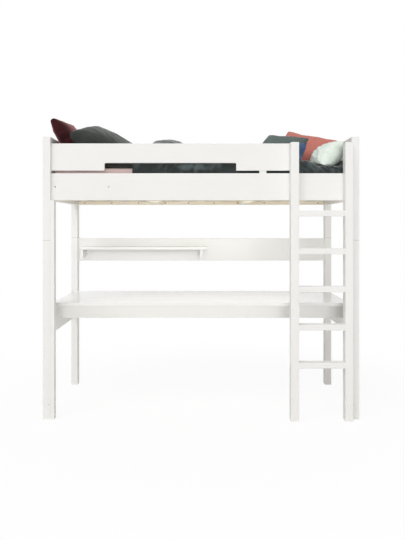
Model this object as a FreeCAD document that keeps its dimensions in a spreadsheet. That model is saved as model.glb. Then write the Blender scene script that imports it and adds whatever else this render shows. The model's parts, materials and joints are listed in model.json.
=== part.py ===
import FreeCAD, Part
import os
import re
import Sketcher

# A painted loft bed: end frames, rails, ladder, desk and shelf, dressed with its bedding.
# +X runs along the bed, +Y to its back, +Z up. The origin is on the floor, under the middle.

Vector = FreeCAD.Vector

# Driving dimensions in millimetres, and angles in degrees
SIZES = {
    # End frames
    "bed_length": 2090,           # over the posts
    "frame_depth": 1010,          # over the posts
    "post_width": 50,
    "post_depth": 75,
    "leg_height": 1182,           # floor to the joint with the upper post
    "post_height": 660,           # joint to the underside of the cap
    "cap_thickness": 25,
    "end_board_thickness": 22,    # end panels and desk bearers
    "end_board_inset": 10,        # behind the posts' inner faces
    "panel_groove": 10,           # how far a panel enters each post
    "edge_ease": 2,               # bevel on the long edges of the boards
    # Rails
    "board_height": 180,
    "board_thickness": 25,
    "board_recess": 25,           # behind the posts' outer faces
    "rail_above_joint": 265,      # underside of the side rails, above the joint of leg and post
    "guard_gap": 18,
    "notch_length": 876,
    "notch_height": 51,
    "notch_radius": 9,
    "spacer_width": 46,
    "spacer_recess": 3,
    "spacer_from_ladder": 202.5,  # between its middle and that of the ladder's left upright
    # Slatted base
    "ledge_height": 28,
    "ledge_depth": 20,
    "ledge_gap": 2,               # at each end, to the posts
    "slat_count": 15,
    "slat_end_gap": 20.1,         # from the end slats to the posts
    "slat_width": 64,
    "slat_thickness": 18,
    "slat_gap": 2,                # at each end, to the rails
    "tie_width": 60,
    "tie_place": 330,
    # Splint on the front left leg
    "splint_width": 26,
    "splint_depth": 48,
    # Ladder
    "ladder_proud": 50,           # in front of the posts
    "ladder_spacing": 355,        # between the uprights' middles
    "upright_width": 53,
    "upright_depth": 75,
    "rung_count": 5,
    "rung_first": 364,
    "rung_below_rail": 87,        # the top rung's middle, under the side rail
    "rung_height": 38,
    "rung_depth": 68,
    # Desk
    "desk_level": 754,            # top surface
    "desk_thickness": 23,
    "desk_from_front": 130,       # behind the posts' front faces
    "desk_bearing": 11,           # how much of a bearer the desk top covers
    "bearer_height": 180,
    "apron_height": 100,
    "apron_thickness": 22,
    "apron_setback": 140,         # behind the desk top's front edge
    # Back board and shelf
    "back_board_drop": 5,         # its top edge, below the joint of leg and post
    "shelf_drop": 65,             # top surface, below the board's top edge
    "shelf_length": 997,
    "shelf_depth": 148,
    "shelf_thickness": 22,
    "shelf_start": 38,            # from the left back leg
    "bracket_width": 20,
    "bracket_height": 62,
    "bracket_depth": 140,
    "bracket_inset_left": 6,
    "bracket_inset_right": 30,
    # Stub tenons
    "rung_tenon_length": 15,
    "rung_tenon_height": 22,
    "rung_tenon_depth": 44,
    "board_tenon_length": 12,     # guard rails, back board and bearers
    "board_tenon_thickness": 12,
    "board_shoulder": 20,         # above and below a tenon
    "apron_tenon_length": 10,
    "spigot_width": 20,           # in the joint of a leg and a post, and on a post's top
    "spigot_depth": 40,
    "spigot_reach": 40,           # into a leg and into its post
    "cap_tenon_length": 12,
    # Bolts
    "bolt_diameter": 6,
    "bolt_head_diameter": 15,
    "bolt_head_height": 3.5,
    "bolt_reach": 42,             # into a rail's end
    "bolt_low": 54,               # above a rail's underside
    "bolt_pitch": 96,
    "ladder_bolt_diameter": 8,
    "ladder_bolt_reach": 45,      # into an upright
    "ladder_head_diameter": 16,
    "ladder_head_height": 4,
    "brace_first": 127,
    "brace_above_joint": 125,     # the top one, in the post
    "brace_bolt_diameter": 11,
    "brace_bolt_reach": 30,       # into a leg
    "brace_sink": 9,              # below the surface
    "hole_clearance": 0.4,        # on a diameter
    "end_clearance": 0.3,         # where a piece enters another, at its end and sides
    # Mattress and duvet
    "mattress_thickness": 175,
    "mattress_corner": 50,
    "mattress_edge": 24,
    "mattress_end_gap": 3,        # to the posts
    "mattress_front_gap": 35,     # to the front rail, for the hanging duvet
    "mattress_back_gap": 5,       # to the back rail
    "duvet_thickness": 36,
    "duvet_crown": 2,             # higher in the middle than at the sides
    "duvet_flat": 24,             # its thickness under the cushions
    "flat_from_right": 696,       # where they begin to press it, from the right posts
    "duvet_hang": 26,             # how far it hangs over the mattress's front
    "duvet_front_gap": 8,         # to the front rail
    "duvet_back_gap": 12,         # to the back rail
    "duvet_from_left": 534,       # its left edge, from the left posts
    "duvet_from_right": 10,
    "hump_from_left": 752,        # the bunched fold
    "hump_width": 290,
    "hump_height": 245,
    "shoulder_place": 105,        # from its middle to where the dome bends over
    "shoulder_height": 212,
    "soft_clearance": 0.4,
    # Pillows
    "pillow_seam": 6,             # thickness along the sewn edge
    "pillow_draw": 0.07,          # share by which the sides are drawn in between the corners
}

# Each pillow's size, its middle's distance from the posts at its end and from the frame's front,
# its turn about the vertical, its tilt and its lean, and how far its underside is pressed flat
PILLOW_WORDS = ("width", "height", "thickness", "from_end", "from_front", "turn", "tilt", "lean", "sink")
PILLOWS = {
    "burgundy": (370, 390, 165, 113, 305, 84, 0, 60, 8),
    "slate": (485, 490, 205, 360, 330, 0, 25, 10, 2),
    "coral": (459, 340, 140, 253, 500, -44, 14.6, 60, 102),
    "forest": (363, 330, 100, 460, 325, -45, 9, 45, 47),
    "blue": (280, 240, 90, 415, 185, -28, 0, 60, 55),
    "mint": (225, 255, 150, 143, 232, -68, 0, 50, 54),
}
LEFT_PILLOWS = ("burgundy", "slate")
PRESSED_BY = {"slate": ("burgundy",), "forest": ("coral",), "blue": ("forest",),
              "mint": ("coral", "forest")}
for pillow, values in PILLOWS.items():
    SIZES.update({f"{pillow}_{word}": value for word, value in zip(PILLOW_WORDS, values)})

doc = FreeCAD.newDocument("LoftBed")
sheet = doc.addObject("Spreadsheet::Sheet", "Sizes")
for row, (alias, value) in enumerate(SIZES.items(), start=1):
    sheet.set(f"A{row}", alias)
    sheet.set(f"B{row}", str(value))
    sheet.setAlias(f"B{row}", alias)
doc.recompute()

# Places that several pieces share, as formulas of the sheet's words
INNER = "(bed_length/2 - post_width)"
FRONT = "((ladder_proud - frame_depth)/2)"
BACK = "((ladder_proud + frame_depth)/2)"
POST_TOP = "(leg_height + post_height)"
RAIL_LEVEL = "(leg_height + rail_above_joint)"
RAIL_MIDDLE = f"({RAIL_LEVEL} + board_height/2)"
RAIL_TOP = f"({RAIL_LEVEL} + board_height)"
GUARD_LEVEL = f"({RAIL_TOP} + guard_gap)"
GUARD_TOP = f"({GUARD_LEVEL} + board_height)"
LEDGE_TOP = f"({RAIL_LEVEL} + ledge_height)"
SLAT_TOP = f"({LEDGE_TOP} + slat_thickness)"
BACK_BOARD_LEVEL = "(leg_height - back_board_drop - board_height)"
SHELF_LEVEL = "(leg_height - back_board_drop - shelf_drop)"
UPRIGHT_RIGHT = "(bed_length/2 - post_width - upright_width/2)"
UPRIGHT_LEFT = "(bed_length/2 - post_width - upright_width/2 - ladder_spacing)"
END_BOARD = "(bed_length/2 - post_width + end_board_inset)"
DESK_UNDER = "(desk_level - desk_thickness)"
BOARD_FACE = {"front": f"({FRONT} + board_recess)",
              "back": f"({BACK} - board_recess - board_thickness)"}
RAIL_INSIDE = f"({BOARD_FACE['front']} + board_thickness)"
MATTRESS_LEVEL = f"({SLAT_TOP} + soft_clearance)"
MATTRESS_TOP = f"({SLAT_TOP} + soft_clearance + mattress_thickness)"
MATTRESS_BACK = f"({BOARD_FACE['back']} - mattress_back_gap)"
MATTRESS_FRONT = f"({RAIL_INSIDE} + mattress_front_gap)"
DESK_FRONT = f"({FRONT} + desk_from_front)"
SIDES = {"left": -1, "right": 1}
ROWS = {"front": f"{FRONT}", "back": f"({BACK} - post_depth)"}

PLANE = {"X": "YZ_Plane", "Y": "XZ_Plane", "Z": "XY_Plane"}
ACROSS = {"X": "YZ", "Y": "XZ", "Z": "XY"}
SUBPARTS = []


def cells(text):
    """An expression with each word turned into a reference to its cell."""
    return re.sub(r"[a-z][a-z_]+", lambda word: "Sizes." + word.group(), str(text))


def number(text):
    """The present value of such an expression."""
    return float(sheet.evalExpression(cells(text)))


def place(thing, corner):
    """Bind an object's position to three expressions."""
    for axis, text in zip("xyz", corner):
        thing.setExpression("Placement.Base." + axis, cells(text))


def new_body(label, corner):
    """An empty body that counts as a sub-part, with its low corner placed by expressions."""
    body = doc.addObject("PartDesign::Body", label)
    body.Label = label
    place(body, corner)
    SUBPARTS.append(body)
    return body


def sketch_across(body, axis, level):
    """A sketch square to one axis of the body, at a level along that axis."""
    plane = [item for item in body.Origin.OriginFeatures if item.Role == PLANE[axis]][0]
    sketch = body.newObject("Sketcher::SketchObject", "Outline")
    sketch.AttachmentSupport = (plane, [""])
    sketch.MapMode = "FlatFace"
    turned = "-1" if axis == "Y" else "1"
    sketch.setExpression("AttachmentOffset.Base.z", cells(f"{turned}*({level})"))
    return sketch


def bind(sketch, kind, ends, text):
    """A dimension between two points, or of one circle, bound to an expression."""
    index = sketch.addConstraint(Sketcher.Constraint(kind, *ends, number(text)))
    sketch.setExpression(f"Constraints[{index}]", cells(text))


def polygon(sketch, corners):
    """A closed outline of straight lines, each corner bound to a pair of expressions."""
    points = [Vector(number(across), number(along), 0) for across, along in corners]
    count = len(points)
    first = sketch.GeometryCount
    for index in range(count):
        sketch.addGeometry(Part.LineSegment(points[index], points[(index + 1) % count]), False)
    for index in range(count):
        following = first + (index + 1) % count
        sketch.addConstraint(Sketcher.Constraint("Coincident", first + index, 2, following, 1))
    for index, (across, along) in enumerate(corners):
        bind(sketch, "DistanceX", (-1, 1, first + index, 1), across)
        bind(sketch, "DistanceY", (-1, 1, first + index, 1), along)


def rectangle(sketch, low, size):
    """A rectangle from its low corner and its two sizes."""
    left, bottom = low
    right, top = f"{left} + {size[0]}", f"{bottom} + {size[1]}"
    polygon(sketch, [(left, bottom), (right, bottom), (right, top), (left, top)])


def circles(sketch, spots, diameter):
    """Round outlines of one diameter."""
    for across, along in spots:
        centre = Vector(number(across), number(along), 0)
        circle = Part.Circle(centre, Vector(0, 0, 1), number(diameter) / 2)
        index = sketch.addGeometry(circle, False)
        bind(sketch, "DistanceX", (-1, 1, index, 3), across)
        bind(sketch, "DistanceY", (-1, 1, index, 3), along)
        bind(sketch, "Diameter", (index,), diameter)


def pad(body, sketch, axis, length):
    """Raise a sketch along the body's axis."""
    feature = body.newObject("PartDesign::Pad", "Pad")
    feature.Profile = sketch
    feature.Reversed = axis == "Y"
    feature.setExpression("Length", cells(length))
    doc.recompute()


def cut(body, sketch, axis, depth):
    """Sink a sketch along the body's axis, and make sure that it removed something."""
    before = body.Shape.Volume
    feature = body.newObject("PartDesign::Pocket", "Pocket")
    feature.Profile = sketch
    feature.Reversed = axis != "Y"
    feature.setExpression("Length", cells(depth))
    doc.recompute()
    if not body.Shape.Volume < before:
        raise RuntimeError(f"{body.Label}: a cut along {axis} removed nothing")


def treat_edges(body, kind, wanted, size):
    """Round ("Fillet") or bevel ("Chamfer") the edges of the body that a test picks."""
    tip = body.Tip
    names = [f"Edge{index}" for index, edge in enumerate(tip.Shape.Edges, start=1) if wanted(edge)]
    feature = body.newObject("PartDesign::" + kind, kind)
    feature.Base = (tip, names)
    feature.setExpression({"Fillet": "Radius", "Chamfer": "Size"}[kind], cells(size))
    doc.recompute()


def runs_along(axis):
    """A test for straight edges that run along one axis of the body."""
    direction = Vector(*[float(name == axis) for name in "XYZ"])

    def test(edge):
        if edge.Curve.TypeId != "Part::GeomLine":
            return False
        return abs(abs(edge.tangentAt(edge.FirstParameter).dot(direction)) - 1) < 1e-6

    return test


def plank(label, corner, size, axis, eased=True):
    """A piece of sawn board: a rectangle padded along its grain, with its long edges eased."""
    body = new_body(label, corner)
    sketch = sketch_across(body, axis, "0")
    sides = dict(zip("XYZ", size))
    rectangle(sketch, ("0", "0"), [sides[across] for across in ACROSS[axis]])
    pad(body, sketch, axis, sides[axis])
    if eased:
        treat_edges(body, "Chamfer", runs_along(axis), "edge_ease")
    return body


def drill(body, axis, spots, diameter, start, depth):
    """Round holes along an axis of the body, from a level and in the axis's own direction."""
    sketch = sketch_across(body, axis, start)
    circles(sketch, spots, diameter)
    cut(body, sketch, axis, depth)


def tenon(body, axis, low, size, start, length):
    """A square tongue on a piece, which starts at a level outside it and runs into it."""
    sketch = sketch_across(body, axis, start)
    rectangle(sketch, low, size)
    pad(body, sketch, axis, length)


def mortise(body, axis, low, size, start, depth):
    """The square hole for a tongue of that size, wider by the clearance and sunk as a drilled hole is."""
    sketch = sketch_across(body, axis, start)
    rectangle(sketch, [f"{corner} - end_clearance" for corner in low],
              [f"{side} + 2*end_clearance" for side in size])
    cut(body, sketch, axis, depth)


TURN = {"X": FreeCAD.Rotation(Vector(0, 1, 0), 90),
        "Y": FreeCAD.Rotation(Vector(1, 0, 0), -90),
        "Z": FreeCAD.Rotation()}


def rod(foot, axis, diameter, length):
    """A round bar that stands on a point and runs in the axis's own direction."""
    bar = doc.addObject("Part::Cylinder", "Rod")
    bar.Placement.Rotation = TURN[axis]
    place(bar, foot)
    bar.setExpression("Radius", cells(f"({diameter})/2"))
    bar.setExpression("Height", cells(length))
    return bar


def block(corner, size):
    """A square bar from its low corner and its three sizes."""
    bar = doc.addObject("Part::Box", "Block")
    place(bar, corner)
    for name, text in zip(("Length", "Width", "Height"), size):
        bar.setExpression(name, cells(text))
    return bar


def along(point, axis, text):
    """A point moved along an axis by an expression."""
    return [f"{value} + ({text})" if name == axis else value for name, value in zip("XYZ", point)]


def bolt(seat, axis, sign, head, shank):
    """A bolt whose head sits on a surface: the shank runs from there, with or against the axis."""
    head_diameter, head_height = head
    diameter, length = shank
    head_foot = along(seat, axis, f"-({head_height})" if sign > 0 else "0")
    shank_foot = along(seat, axis, "0" if sign > 0 else f"-({length})")
    whole = doc.addObject("Part::Fuse", "Bolt")
    whole.Base = rod(head_foot, axis, head_diameter, head_height)
    whole.Tool = rod(shank_foot, axis, diameter, length)
    return whole


def group(label, members):
    """Separate like solids that count as one sub-part."""
    made = doc.addObject("Part::Compound", label)
    made.Label = label
    made.Links = members
    SUBPARTS.append(made)


def from_inner(side, distance):
    """A place across a post, measured from the face that looks into the bed."""
    return f"{distance}" if side == "right" else f"post_width - ({distance})"


def hole(diameter):
    return f"{diameter} + hole_clearance"


# Holes that pass through a face start or end this far outside it
PAST = "1"

BOLT_HEIGHTS = ["bolt_low", "bolt_low + bolt_pitch"]
BOARD_MIDDLE = {"front": "board_recess + board_thickness/2",
                "back": "post_depth - board_recess - board_thickness/2"}
BRACE_MIDDLE = {"left": "splint_depth/2", "right": "board_recess/2"}
BRACE_TURNS = {"left": (0, 1, 2), "right": (2,)}
SPIGOT_LOW = ("(post_width - spigot_width)/2", "(post_depth - spigot_depth)/2")
SPIGOT_SIZE = ("spigot_width", "spigot_depth")
TENON_HEIGHT = "(board_height - 2*board_shoulder)"
BEARER_TENON_HEIGHT = "(bearer_height - 2*board_shoulder)"
APRON_TENON_HEIGHT = "(apron_height - 2*board_shoulder)"


def post_corner(side, row, level):
    across = f"{SIDES[side]}*(bed_length - post_width)/2 - post_width/2"
    return (across, ROWS[row], level)


def brace_level(turn):
    """Bolts at even steps, the last one in the post and the others in the leg."""
    last = BRACE_TURNS["left"][-1]
    return f"(brace_first + {turn}/{last}*(leg_height + brace_above_joint - brace_first))"


def drill_brace_holes(body, side, heights):
    """Blind holes for the bolts of the splint, or of the upright that stands in its place."""
    start = f"-{PAST}" if side == "right" else "post_width - brace_bolt_reach - end_clearance"
    drill(body, "X", [(BRACE_MIDDLE[side], height) for height in heights],
          hole("brace_bolt_diameter"), start, f"brace_bolt_reach + end_clearance + {PAST}")


def board_mortise(body, side, row, level):
    """The mortise of a guard rail or back board, in the face of a post that looks along the bed."""
    start = f"-{PAST}" if side == "right" else "post_width - board_tenon_length - end_clearance"
    mortise(body, "X", (f"{BOARD_MIDDLE[row]} - board_tenon_thickness/2", f"{level} + board_shoulder"),
            ("board_tenon_thickness", TENON_HEIGHT), start,
            f"board_tenon_length + end_clearance + {PAST}")


def make_leg(side, row):
    """A lower leg, mortised for its spigot, the bearer and, at the back, the back board."""
    body = plank(f"leg_{row}_{side}", post_corner(side, row, "0"),
                 ("post_width", "post_depth", "leg_height"), "Z")
    mortise(body, "Z", SPIGOT_LOW, SPIGOT_SIZE, "leg_height - spigot_reach - end_clearance",
            f"spigot_reach + end_clearance + {PAST}")
    middle = from_inner(side, "(end_board_inset + end_board_thickness/2)")
    start = f"-{PAST}" if row == "back" else "post_depth - board_tenon_length - end_clearance"
    low_z = f"{DESK_UNDER} - bearer_height + board_shoulder"
    mortise(body, "Y", (f"{middle} - board_tenon_thickness/2", low_z),
            ("board_tenon_thickness", BEARER_TENON_HEIGHT), start,
            f"board_tenon_length + end_clearance + {PAST}")
    if row == "back":
        board_mortise(body, side, row, BACK_BOARD_LEVEL)
    elif side == "left":
        drill_brace_holes(body, side, [brace_level(turn) for turn in BRACE_TURNS[side][:2]])


def make_post(side, row):
    """An upper post, grooved for the end panel, drilled for the rail and mortised for the guard."""
    body = plank(f"post_{row}_{side}", post_corner(side, row, "leg_height"),
                 ("post_width", "post_depth", "post_height"), "Z")
    tenon(body, "Z", SPIGOT_LOW, SPIGOT_SIZE, "post_height", "cap_tenon_length")
    mortise(body, "Z", SPIGOT_LOW, SPIGOT_SIZE, f"-{PAST}", f"spigot_reach + end_clearance + {PAST}")
    far_edge = "end_board_inset" if side == "right" else "(end_board_inset + end_board_thickness)"
    low_y = f"-{PAST}" if row == "back" else "post_depth - panel_groove"
    low_z = "rail_above_joint - end_clearance"
    mortise(body, "Z", (from_inner(side, far_edge), low_y),
            ("end_board_thickness", f"panel_groove + {PAST}"), low_z, f"post_height - ({low_z}) + {PAST}")
    spots = [(BOARD_MIDDLE[row], f"rail_above_joint + {level}") for level in BOLT_HEIGHTS]
    drill(body, "X", spots, hole("bolt_diameter"), f"-{PAST}", f"post_width + 2*{PAST}")
    if (row, side) != ("front", "right"):
        board_mortise(body, side, row, f"{GUARD_LEVEL} - leg_height")
    if row == "front":
        drill_brace_holes(body, side, [f"{brace_level(BRACE_TURNS[side][-1])} - leg_height"])


def make_end(side):
    """The cap, the panel and the desk bearer of one end."""
    across = f"{SIDES[side]}*(bed_length - post_width)/2 - post_width/2"
    cap = plank(f"cap_{side}", (across, FRONT, POST_TOP),
                ("post_width", "frame_depth", "cap_thickness"), "Y")
    for low_y in (SPIGOT_LOW[1], f"frame_depth - post_depth + {SPIGOT_LOW[1]}"):
        mortise(cap, "Z", (SPIGOT_LOW[0], low_y), SPIGOT_SIZE, f"-{PAST}",
                f"cap_tenon_length + end_clearance + {PAST}")

    low_x = END_BOARD if side == "right" else f"-{END_BOARD} - end_board_thickness"
    plank(f"end_panel_{side}",
          (low_x, f"{FRONT} + post_depth - panel_groove", RAIL_LEVEL),
          ("end_board_thickness", "frame_depth - 2*post_depth + 2*panel_groove",
           f"{POST_TOP} - {RAIL_LEVEL}"), "Y", eased=False)

    length = "(frame_depth - 2*post_depth)"
    bearer = plank(f"desk_bearer_{side}",
                   (low_x, f"{FRONT} + post_depth", f"{DESK_UNDER} - bearer_height"),
                   ("end_board_thickness", length, "bearer_height"), "Y")
    tenon(bearer, "Y", ("(end_board_thickness - board_tenon_thickness)/2", "board_shoulder"),
          ("board_tenon_thickness", BEARER_TENON_HEIGHT), "-board_tenon_length",
          f"{length} + 2*board_tenon_length")
    apron_low = ("desk_from_front - post_depth + apron_setback"
                 " + (apron_thickness - board_tenon_thickness)/2")
    start = f"-{PAST}" if side == "right" else "end_board_thickness - apron_tenon_length - end_clearance"
    mortise(bearer, "X", (apron_low, "bearer_height - apron_height + board_shoulder"),
            ("board_tenon_thickness", APRON_TENON_HEIGHT), start,
            f"apron_tenon_length + end_clearance + {PAST}")


def make_side_rail(row):
    """A side rail, bolted between the posts. The front one can take the ladder at either end."""
    length = f"(2*{INNER})"
    body = plank(f"side_rail_{row}", (f"-{INNER}", BOARD_FACE[row], RAIL_LEVEL),
                 (length, "board_thickness", "board_height"), "X")
    spots = [("board_thickness/2", level) for level in BOLT_HEIGHTS]
    for start in (f"-{PAST}", f"{length} - bolt_reach"):
        drill(body, "X", spots, hole("bolt_diameter"), start, f"bolt_reach + {PAST}")
    if row == "front":
        spots = [(f"{INNER} + {sign}*{spot}", "board_height/2")
                 for sign in (-1, 1) for spot in (UPRIGHT_LEFT, UPRIGHT_RIGHT)]
        drill(body, "Y", spots, hole("ladder_bolt_diameter"), f"-{PAST}",
              f"board_thickness + 2*{PAST}")


# An edge this close to a level lies on it
NEAR = 0.1
BOARD_TENON = (("(board_thickness - board_tenon_thickness)/2", "board_shoulder"),
               ("board_tenon_thickness", TENON_HEIGHT))


def make_front_guard():
    """The front guard rail: it ends behind the ladder and has a long notch in its lower edge."""
    body = new_body("guard_rail_front", (f"-{INNER}", BOARD_FACE["front"], GUARD_LEVEL))
    end = f"({INNER} + {UPRIGHT_LEFT} + upright_width/2)"
    middle = f"(({INNER} + {UPRIGHT_LEFT} - upright_width/2)/2)"
    left, right = f"{middle} - notch_length/2", f"{middle} + notch_length/2"
    outline = [("0", "0"), (left, "0"), (left, "notch_height"), (right, "notch_height"),
               (right, "0"), (end, "0"), (end, "board_height"), ("0", "board_height")]
    sketch = sketch_across(body, "Y", "0")
    polygon(sketch, outline)
    pad(body, sketch, "Y", "board_thickness")
    notch_sides = [number(left), number(right)]
    notch_top = number("notch_height")
    top = number("board_height")

    def notch_corner(edge):
        middle_point = edge.CenterOfMass
        at_side = min(abs(middle_point.x - side) for side in notch_sides) < NEAR
        return runs_along("Y")(edge) and at_side and abs(middle_point.z - notch_top) < NEAR

    def top_edge(edge):
        return runs_along("X")(edge) and edge.CenterOfMass.z > top - NEAR

    treat_edges(body, "Fillet", notch_corner, "notch_radius")
    treat_edges(body, "Chamfer", top_edge, "edge_ease")
    tenon(body, "X", *BOARD_TENON, "-board_tenon_length", "2*board_tenon_length")
    drill(body, "Y", [(f"{INNER} + {UPRIGHT_LEFT}", "board_height/2")],
          hole("ladder_bolt_diameter"), f"-{PAST}", f"board_thickness + 2*{PAST}")


def make_spacer():
    """The block that carries the front guard rail on the side rail."""
    plank("guard_spacer",
          (f"{UPRIGHT_LEFT} - spacer_from_ladder - spacer_width/2",
           f"{BOARD_FACE['front']} + spacer_recess", RAIL_TOP),
          ("spacer_width", "board_thickness - spacer_recess", "guard_gap"), "Z", eased=False)


def make_back_boards():
    """The back guard rail, and the lower back board that carries the shelf."""
    length = f"(2*{INNER})"
    for label, level in (("guard_rail_back", GUARD_LEVEL), ("back_board", BACK_BOARD_LEVEL)):
        body = plank(label, (f"-{INNER}", BOARD_FACE["back"], level),
                     (length, "board_thickness", "board_height"), "X")
        tenon(body, "X", *BOARD_TENON, "-board_tenon_length", f"{length} + 2*board_tenon_length")


def make_slatted_base():
    """Ledges inside the rails, two ties between them, and the slats that lie on top."""
    inside = {"front": RAIL_INSIDE, "back": f"{BOARD_FACE['back']} - ledge_depth"}
    for row in ROWS:
        plank(f"slat_ledge_{row}", (f"-{INNER} + ledge_gap", inside[row], RAIL_LEVEL),
              (f"2*{INNER} - 2*ledge_gap", "ledge_depth", "ledge_height"), "X")
    clear_width = f"({BOARD_FACE['back']} - {RAIL_INSIDE})"
    for side, sign in SIDES.items():
        plank(f"cross_tie_{side}",
              (f"{sign}*tie_place - tie_width/2", f"{RAIL_INSIDE} + ledge_depth", RAIL_LEVEL),
              ("tie_width", f"{clear_width} - 2*ledge_depth", "ledge_height"), "Y")
    size = ("slat_width", f"{clear_width} - 2*slat_gap", "slat_thickness")
    pitch = f"((2*{INNER} - 2*slat_end_gap - slat_width)/(slat_count - 1))"
    starts = [f"-{INNER} + slat_end_gap + {index}*{pitch}" for index in range(int(number("slat_count")))]
    group("slats", [block((start, f"{RAIL_INSIDE} + slat_gap", LEDGE_TOP), size) for start in starts])


def make_ladder():
    """Two uprights in front of the rails, mortised for the stub tenons of the rungs."""
    pitch = f"(({RAIL_LEVEL} - rung_below_rail - rung_first)/(rung_count - 1))"
    levels = [f"(rung_first + {index}*{pitch})" for index in range(int(number("rung_count")))]
    low_y = f"({FRONT} - ladder_proud)"
    tenon_size = ("rung_tenon_depth", "rung_tenon_height")
    for side, middle in (("left", UPRIGHT_LEFT), ("right", UPRIGHT_RIGHT)):
        body = plank(f"ladder_upright_{side}", (f"{middle} - upright_width/2", low_y, "0"),
                     ("upright_width", "upright_depth", GUARD_TOP), "Z")
        start = f"-{PAST}" if side == "right" else "upright_width - rung_tenon_length - end_clearance"
        for level in levels:
            mortise(body, "X", ("(upright_depth - rung_tenon_depth)/2", f"{level} - rung_tenon_height/2"),
                    tenon_size, start, f"rung_tenon_length + end_clearance + {PAST}")
        heights = [RAIL_MIDDLE]
        if side == "left":
            heights.append(f"{GUARD_LEVEL} + board_height/2")
        drill(body, "Y", [("upright_width/2", height) for height in heights],
              hole("ladder_bolt_diameter"), "upright_depth - ladder_bolt_reach - end_clearance",
              f"ladder_bolt_reach + end_clearance + {PAST}")
        if side == "right":
            spots = [(f"ladder_proud + {BRACE_MIDDLE['right']}", brace_level(turn))
                     for turn in BRACE_TURNS["right"]]
            drill(body, "X", spots, hole("brace_bolt_diameter"), f"-{PAST}",
                  f"upright_width + 2*{PAST}")

    clear = "(ladder_spacing - upright_width)"
    low_x = f"{UPRIGHT_LEFT} + upright_width/2"
    for index, level in enumerate(levels, start=1):
        rung = plank(f"rung_{index}",
                     (low_x, f"{low_y} + (upright_depth - rung_depth)/2", f"{level} - rung_height/2"),
                     (clear, "rung_depth", "rung_height"), "X")
        tenon(rung, "X", ("(rung_depth - rung_tenon_depth)/2", "(rung_height - rung_tenon_height)/2"),
              tenon_size, "-rung_tenon_length", f"{clear} + 2*rung_tenon_length")


def make_splint():
    """The strip that stiffens the joint of the front left leg, with its bolts sunk in."""
    body = plank("leg_splint", (f"-{INNER}", FRONT, "0"),
                 ("splint_width", "splint_depth", RAIL_LEVEL), "Z")
    drill(body, "X", [(BRACE_MIDDLE["left"], brace_level(turn)) for turn in BRACE_TURNS["left"]],
          hole("brace_bolt_diameter"), f"-{PAST}", f"splint_width + 2*{PAST}")


def make_desk():
    """The desk top on its bearers, and the apron that stiffens it."""
    half = f"({END_BOARD} + desk_bearing)"
    plank("desk_top", (f"-{half}", DESK_FRONT, DESK_UNDER),
          (f"2*{half}", f"{BACK} - post_depth - {DESK_FRONT}", "desk_thickness"), "X")
    length = f"(2*{END_BOARD})"
    apron = plank("desk_apron",
                  (f"-{END_BOARD}", f"{DESK_FRONT} + apron_setback", f"{DESK_UNDER} - apron_height"),
                  (length, "apron_thickness", "apron_height"), "X")
    tenon(apron, "X", ("(apron_thickness - board_tenon_thickness)/2", "board_shoulder"),
          ("board_tenon_thickness", APRON_TENON_HEIGHT), "-apron_tenon_length",
          f"{length} + 2*apron_tenon_length")


def make_shelf():
    """The short shelf and its two brackets, fixed to the back board."""
    face = BOARD_FACE["back"]
    left = f"(-{INNER} + shelf_start)"
    plank("shelf", (left, f"{face} - shelf_depth", f"{SHELF_LEVEL} - shelf_thickness"),
          ("shelf_length", "shelf_depth", "shelf_thickness"), "X")
    places = {"left": f"{left} + bracket_inset_left",
              "right": f"{left} + shelf_length - bracket_inset_right - bracket_width"}
    for side, low_x in places.items():
        plank(f"shelf_bracket_{side}",
              (low_x, f"{face} - bracket_depth", f"{SHELF_LEVEL} - shelf_thickness - bracket_height"),
              ("bracket_width", "bracket_depth", "bracket_height"), "Y")


def make_fasteners():
    """Bolts of the rails, the ladder and the splint, and the spigots in the legs' joints."""
    rail_bolts = []
    for row in ROWS:
        for sign in SIDES.values():
            for height in BOLT_HEIGHTS:
                seat = (f"{sign}*bed_length/2", f"{BOARD_FACE[row]} + board_thickness/2",
                        f"{RAIL_LEVEL} + {height}")
                rail_bolts.append(bolt(seat, "X", -sign, ("bolt_head_diameter", "bolt_head_height"),
                                       ("bolt_diameter", "post_width + bolt_reach - end_clearance")))
    group("rail_bolts", rail_bolts)

    spots = [(UPRIGHT_LEFT, RAIL_MIDDLE), (UPRIGHT_RIGHT, RAIL_MIDDLE),
             (UPRIGHT_LEFT, f"{GUARD_LEVEL} + board_height/2")]
    group("ladder_bolts", [bolt((across, RAIL_INSIDE, level), "Y", -1,
                                ("ladder_head_diameter", "ladder_head_height"),
                                ("ladder_bolt_diameter", "board_thickness + ladder_bolt_reach"))
                           for across, level in spots])

    braces = [rod((f"-{INNER} - brace_bolt_reach", f"{FRONT} + {BRACE_MIDDLE['left']}", brace_level(turn)),
                  "X", "brace_bolt_diameter", "brace_bolt_reach + splint_width - brace_sink")
              for turn in BRACE_TURNS["left"]]
    braces += [rod((f"{INNER} - upright_width + brace_sink", f"{FRONT} + {BRACE_MIDDLE['right']}",
                    brace_level(turn)), "X", "brace_bolt_diameter",
                   "upright_width - brace_sink + brace_bolt_reach") for turn in BRACE_TURNS["right"]]
    group("brace_bolts", braces)

    spigots = []
    for side in SIDES:
        for row in ROWS:
            across, depth, level = post_corner(side, row, "leg_height - spigot_reach")
            spigots.append(block((f"{across} + {SPIGOT_LOW[0]}", f"{depth} + {SPIGOT_LOW[1]}", level),
                                 (*SPIGOT_SIZE, "2*spigot_reach")))
    group("leg_spigots", spigots)


def soft(label, shape, placement):
    """A sub-part of freely formed cloth or stuffing, in its own frame."""
    made = doc.addObject("Part::Feature", label)
    made.Label = label
    made.Shape = shape
    made.Placement = placement
    SUBPARTS.append(made)


def at(across, depth, level):
    """The placement of an upright soft piece whose origin lies at three expressions."""
    return FreeCAD.Placement(Vector(number(across), number(depth), number(level)), FreeCAD.Rotation())


def line(first, second):
    return Part.LineSegment(first, second).toShape()


def arc(first, middle, second):
    return Part.Arc(first, middle, second).toShape()


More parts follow.
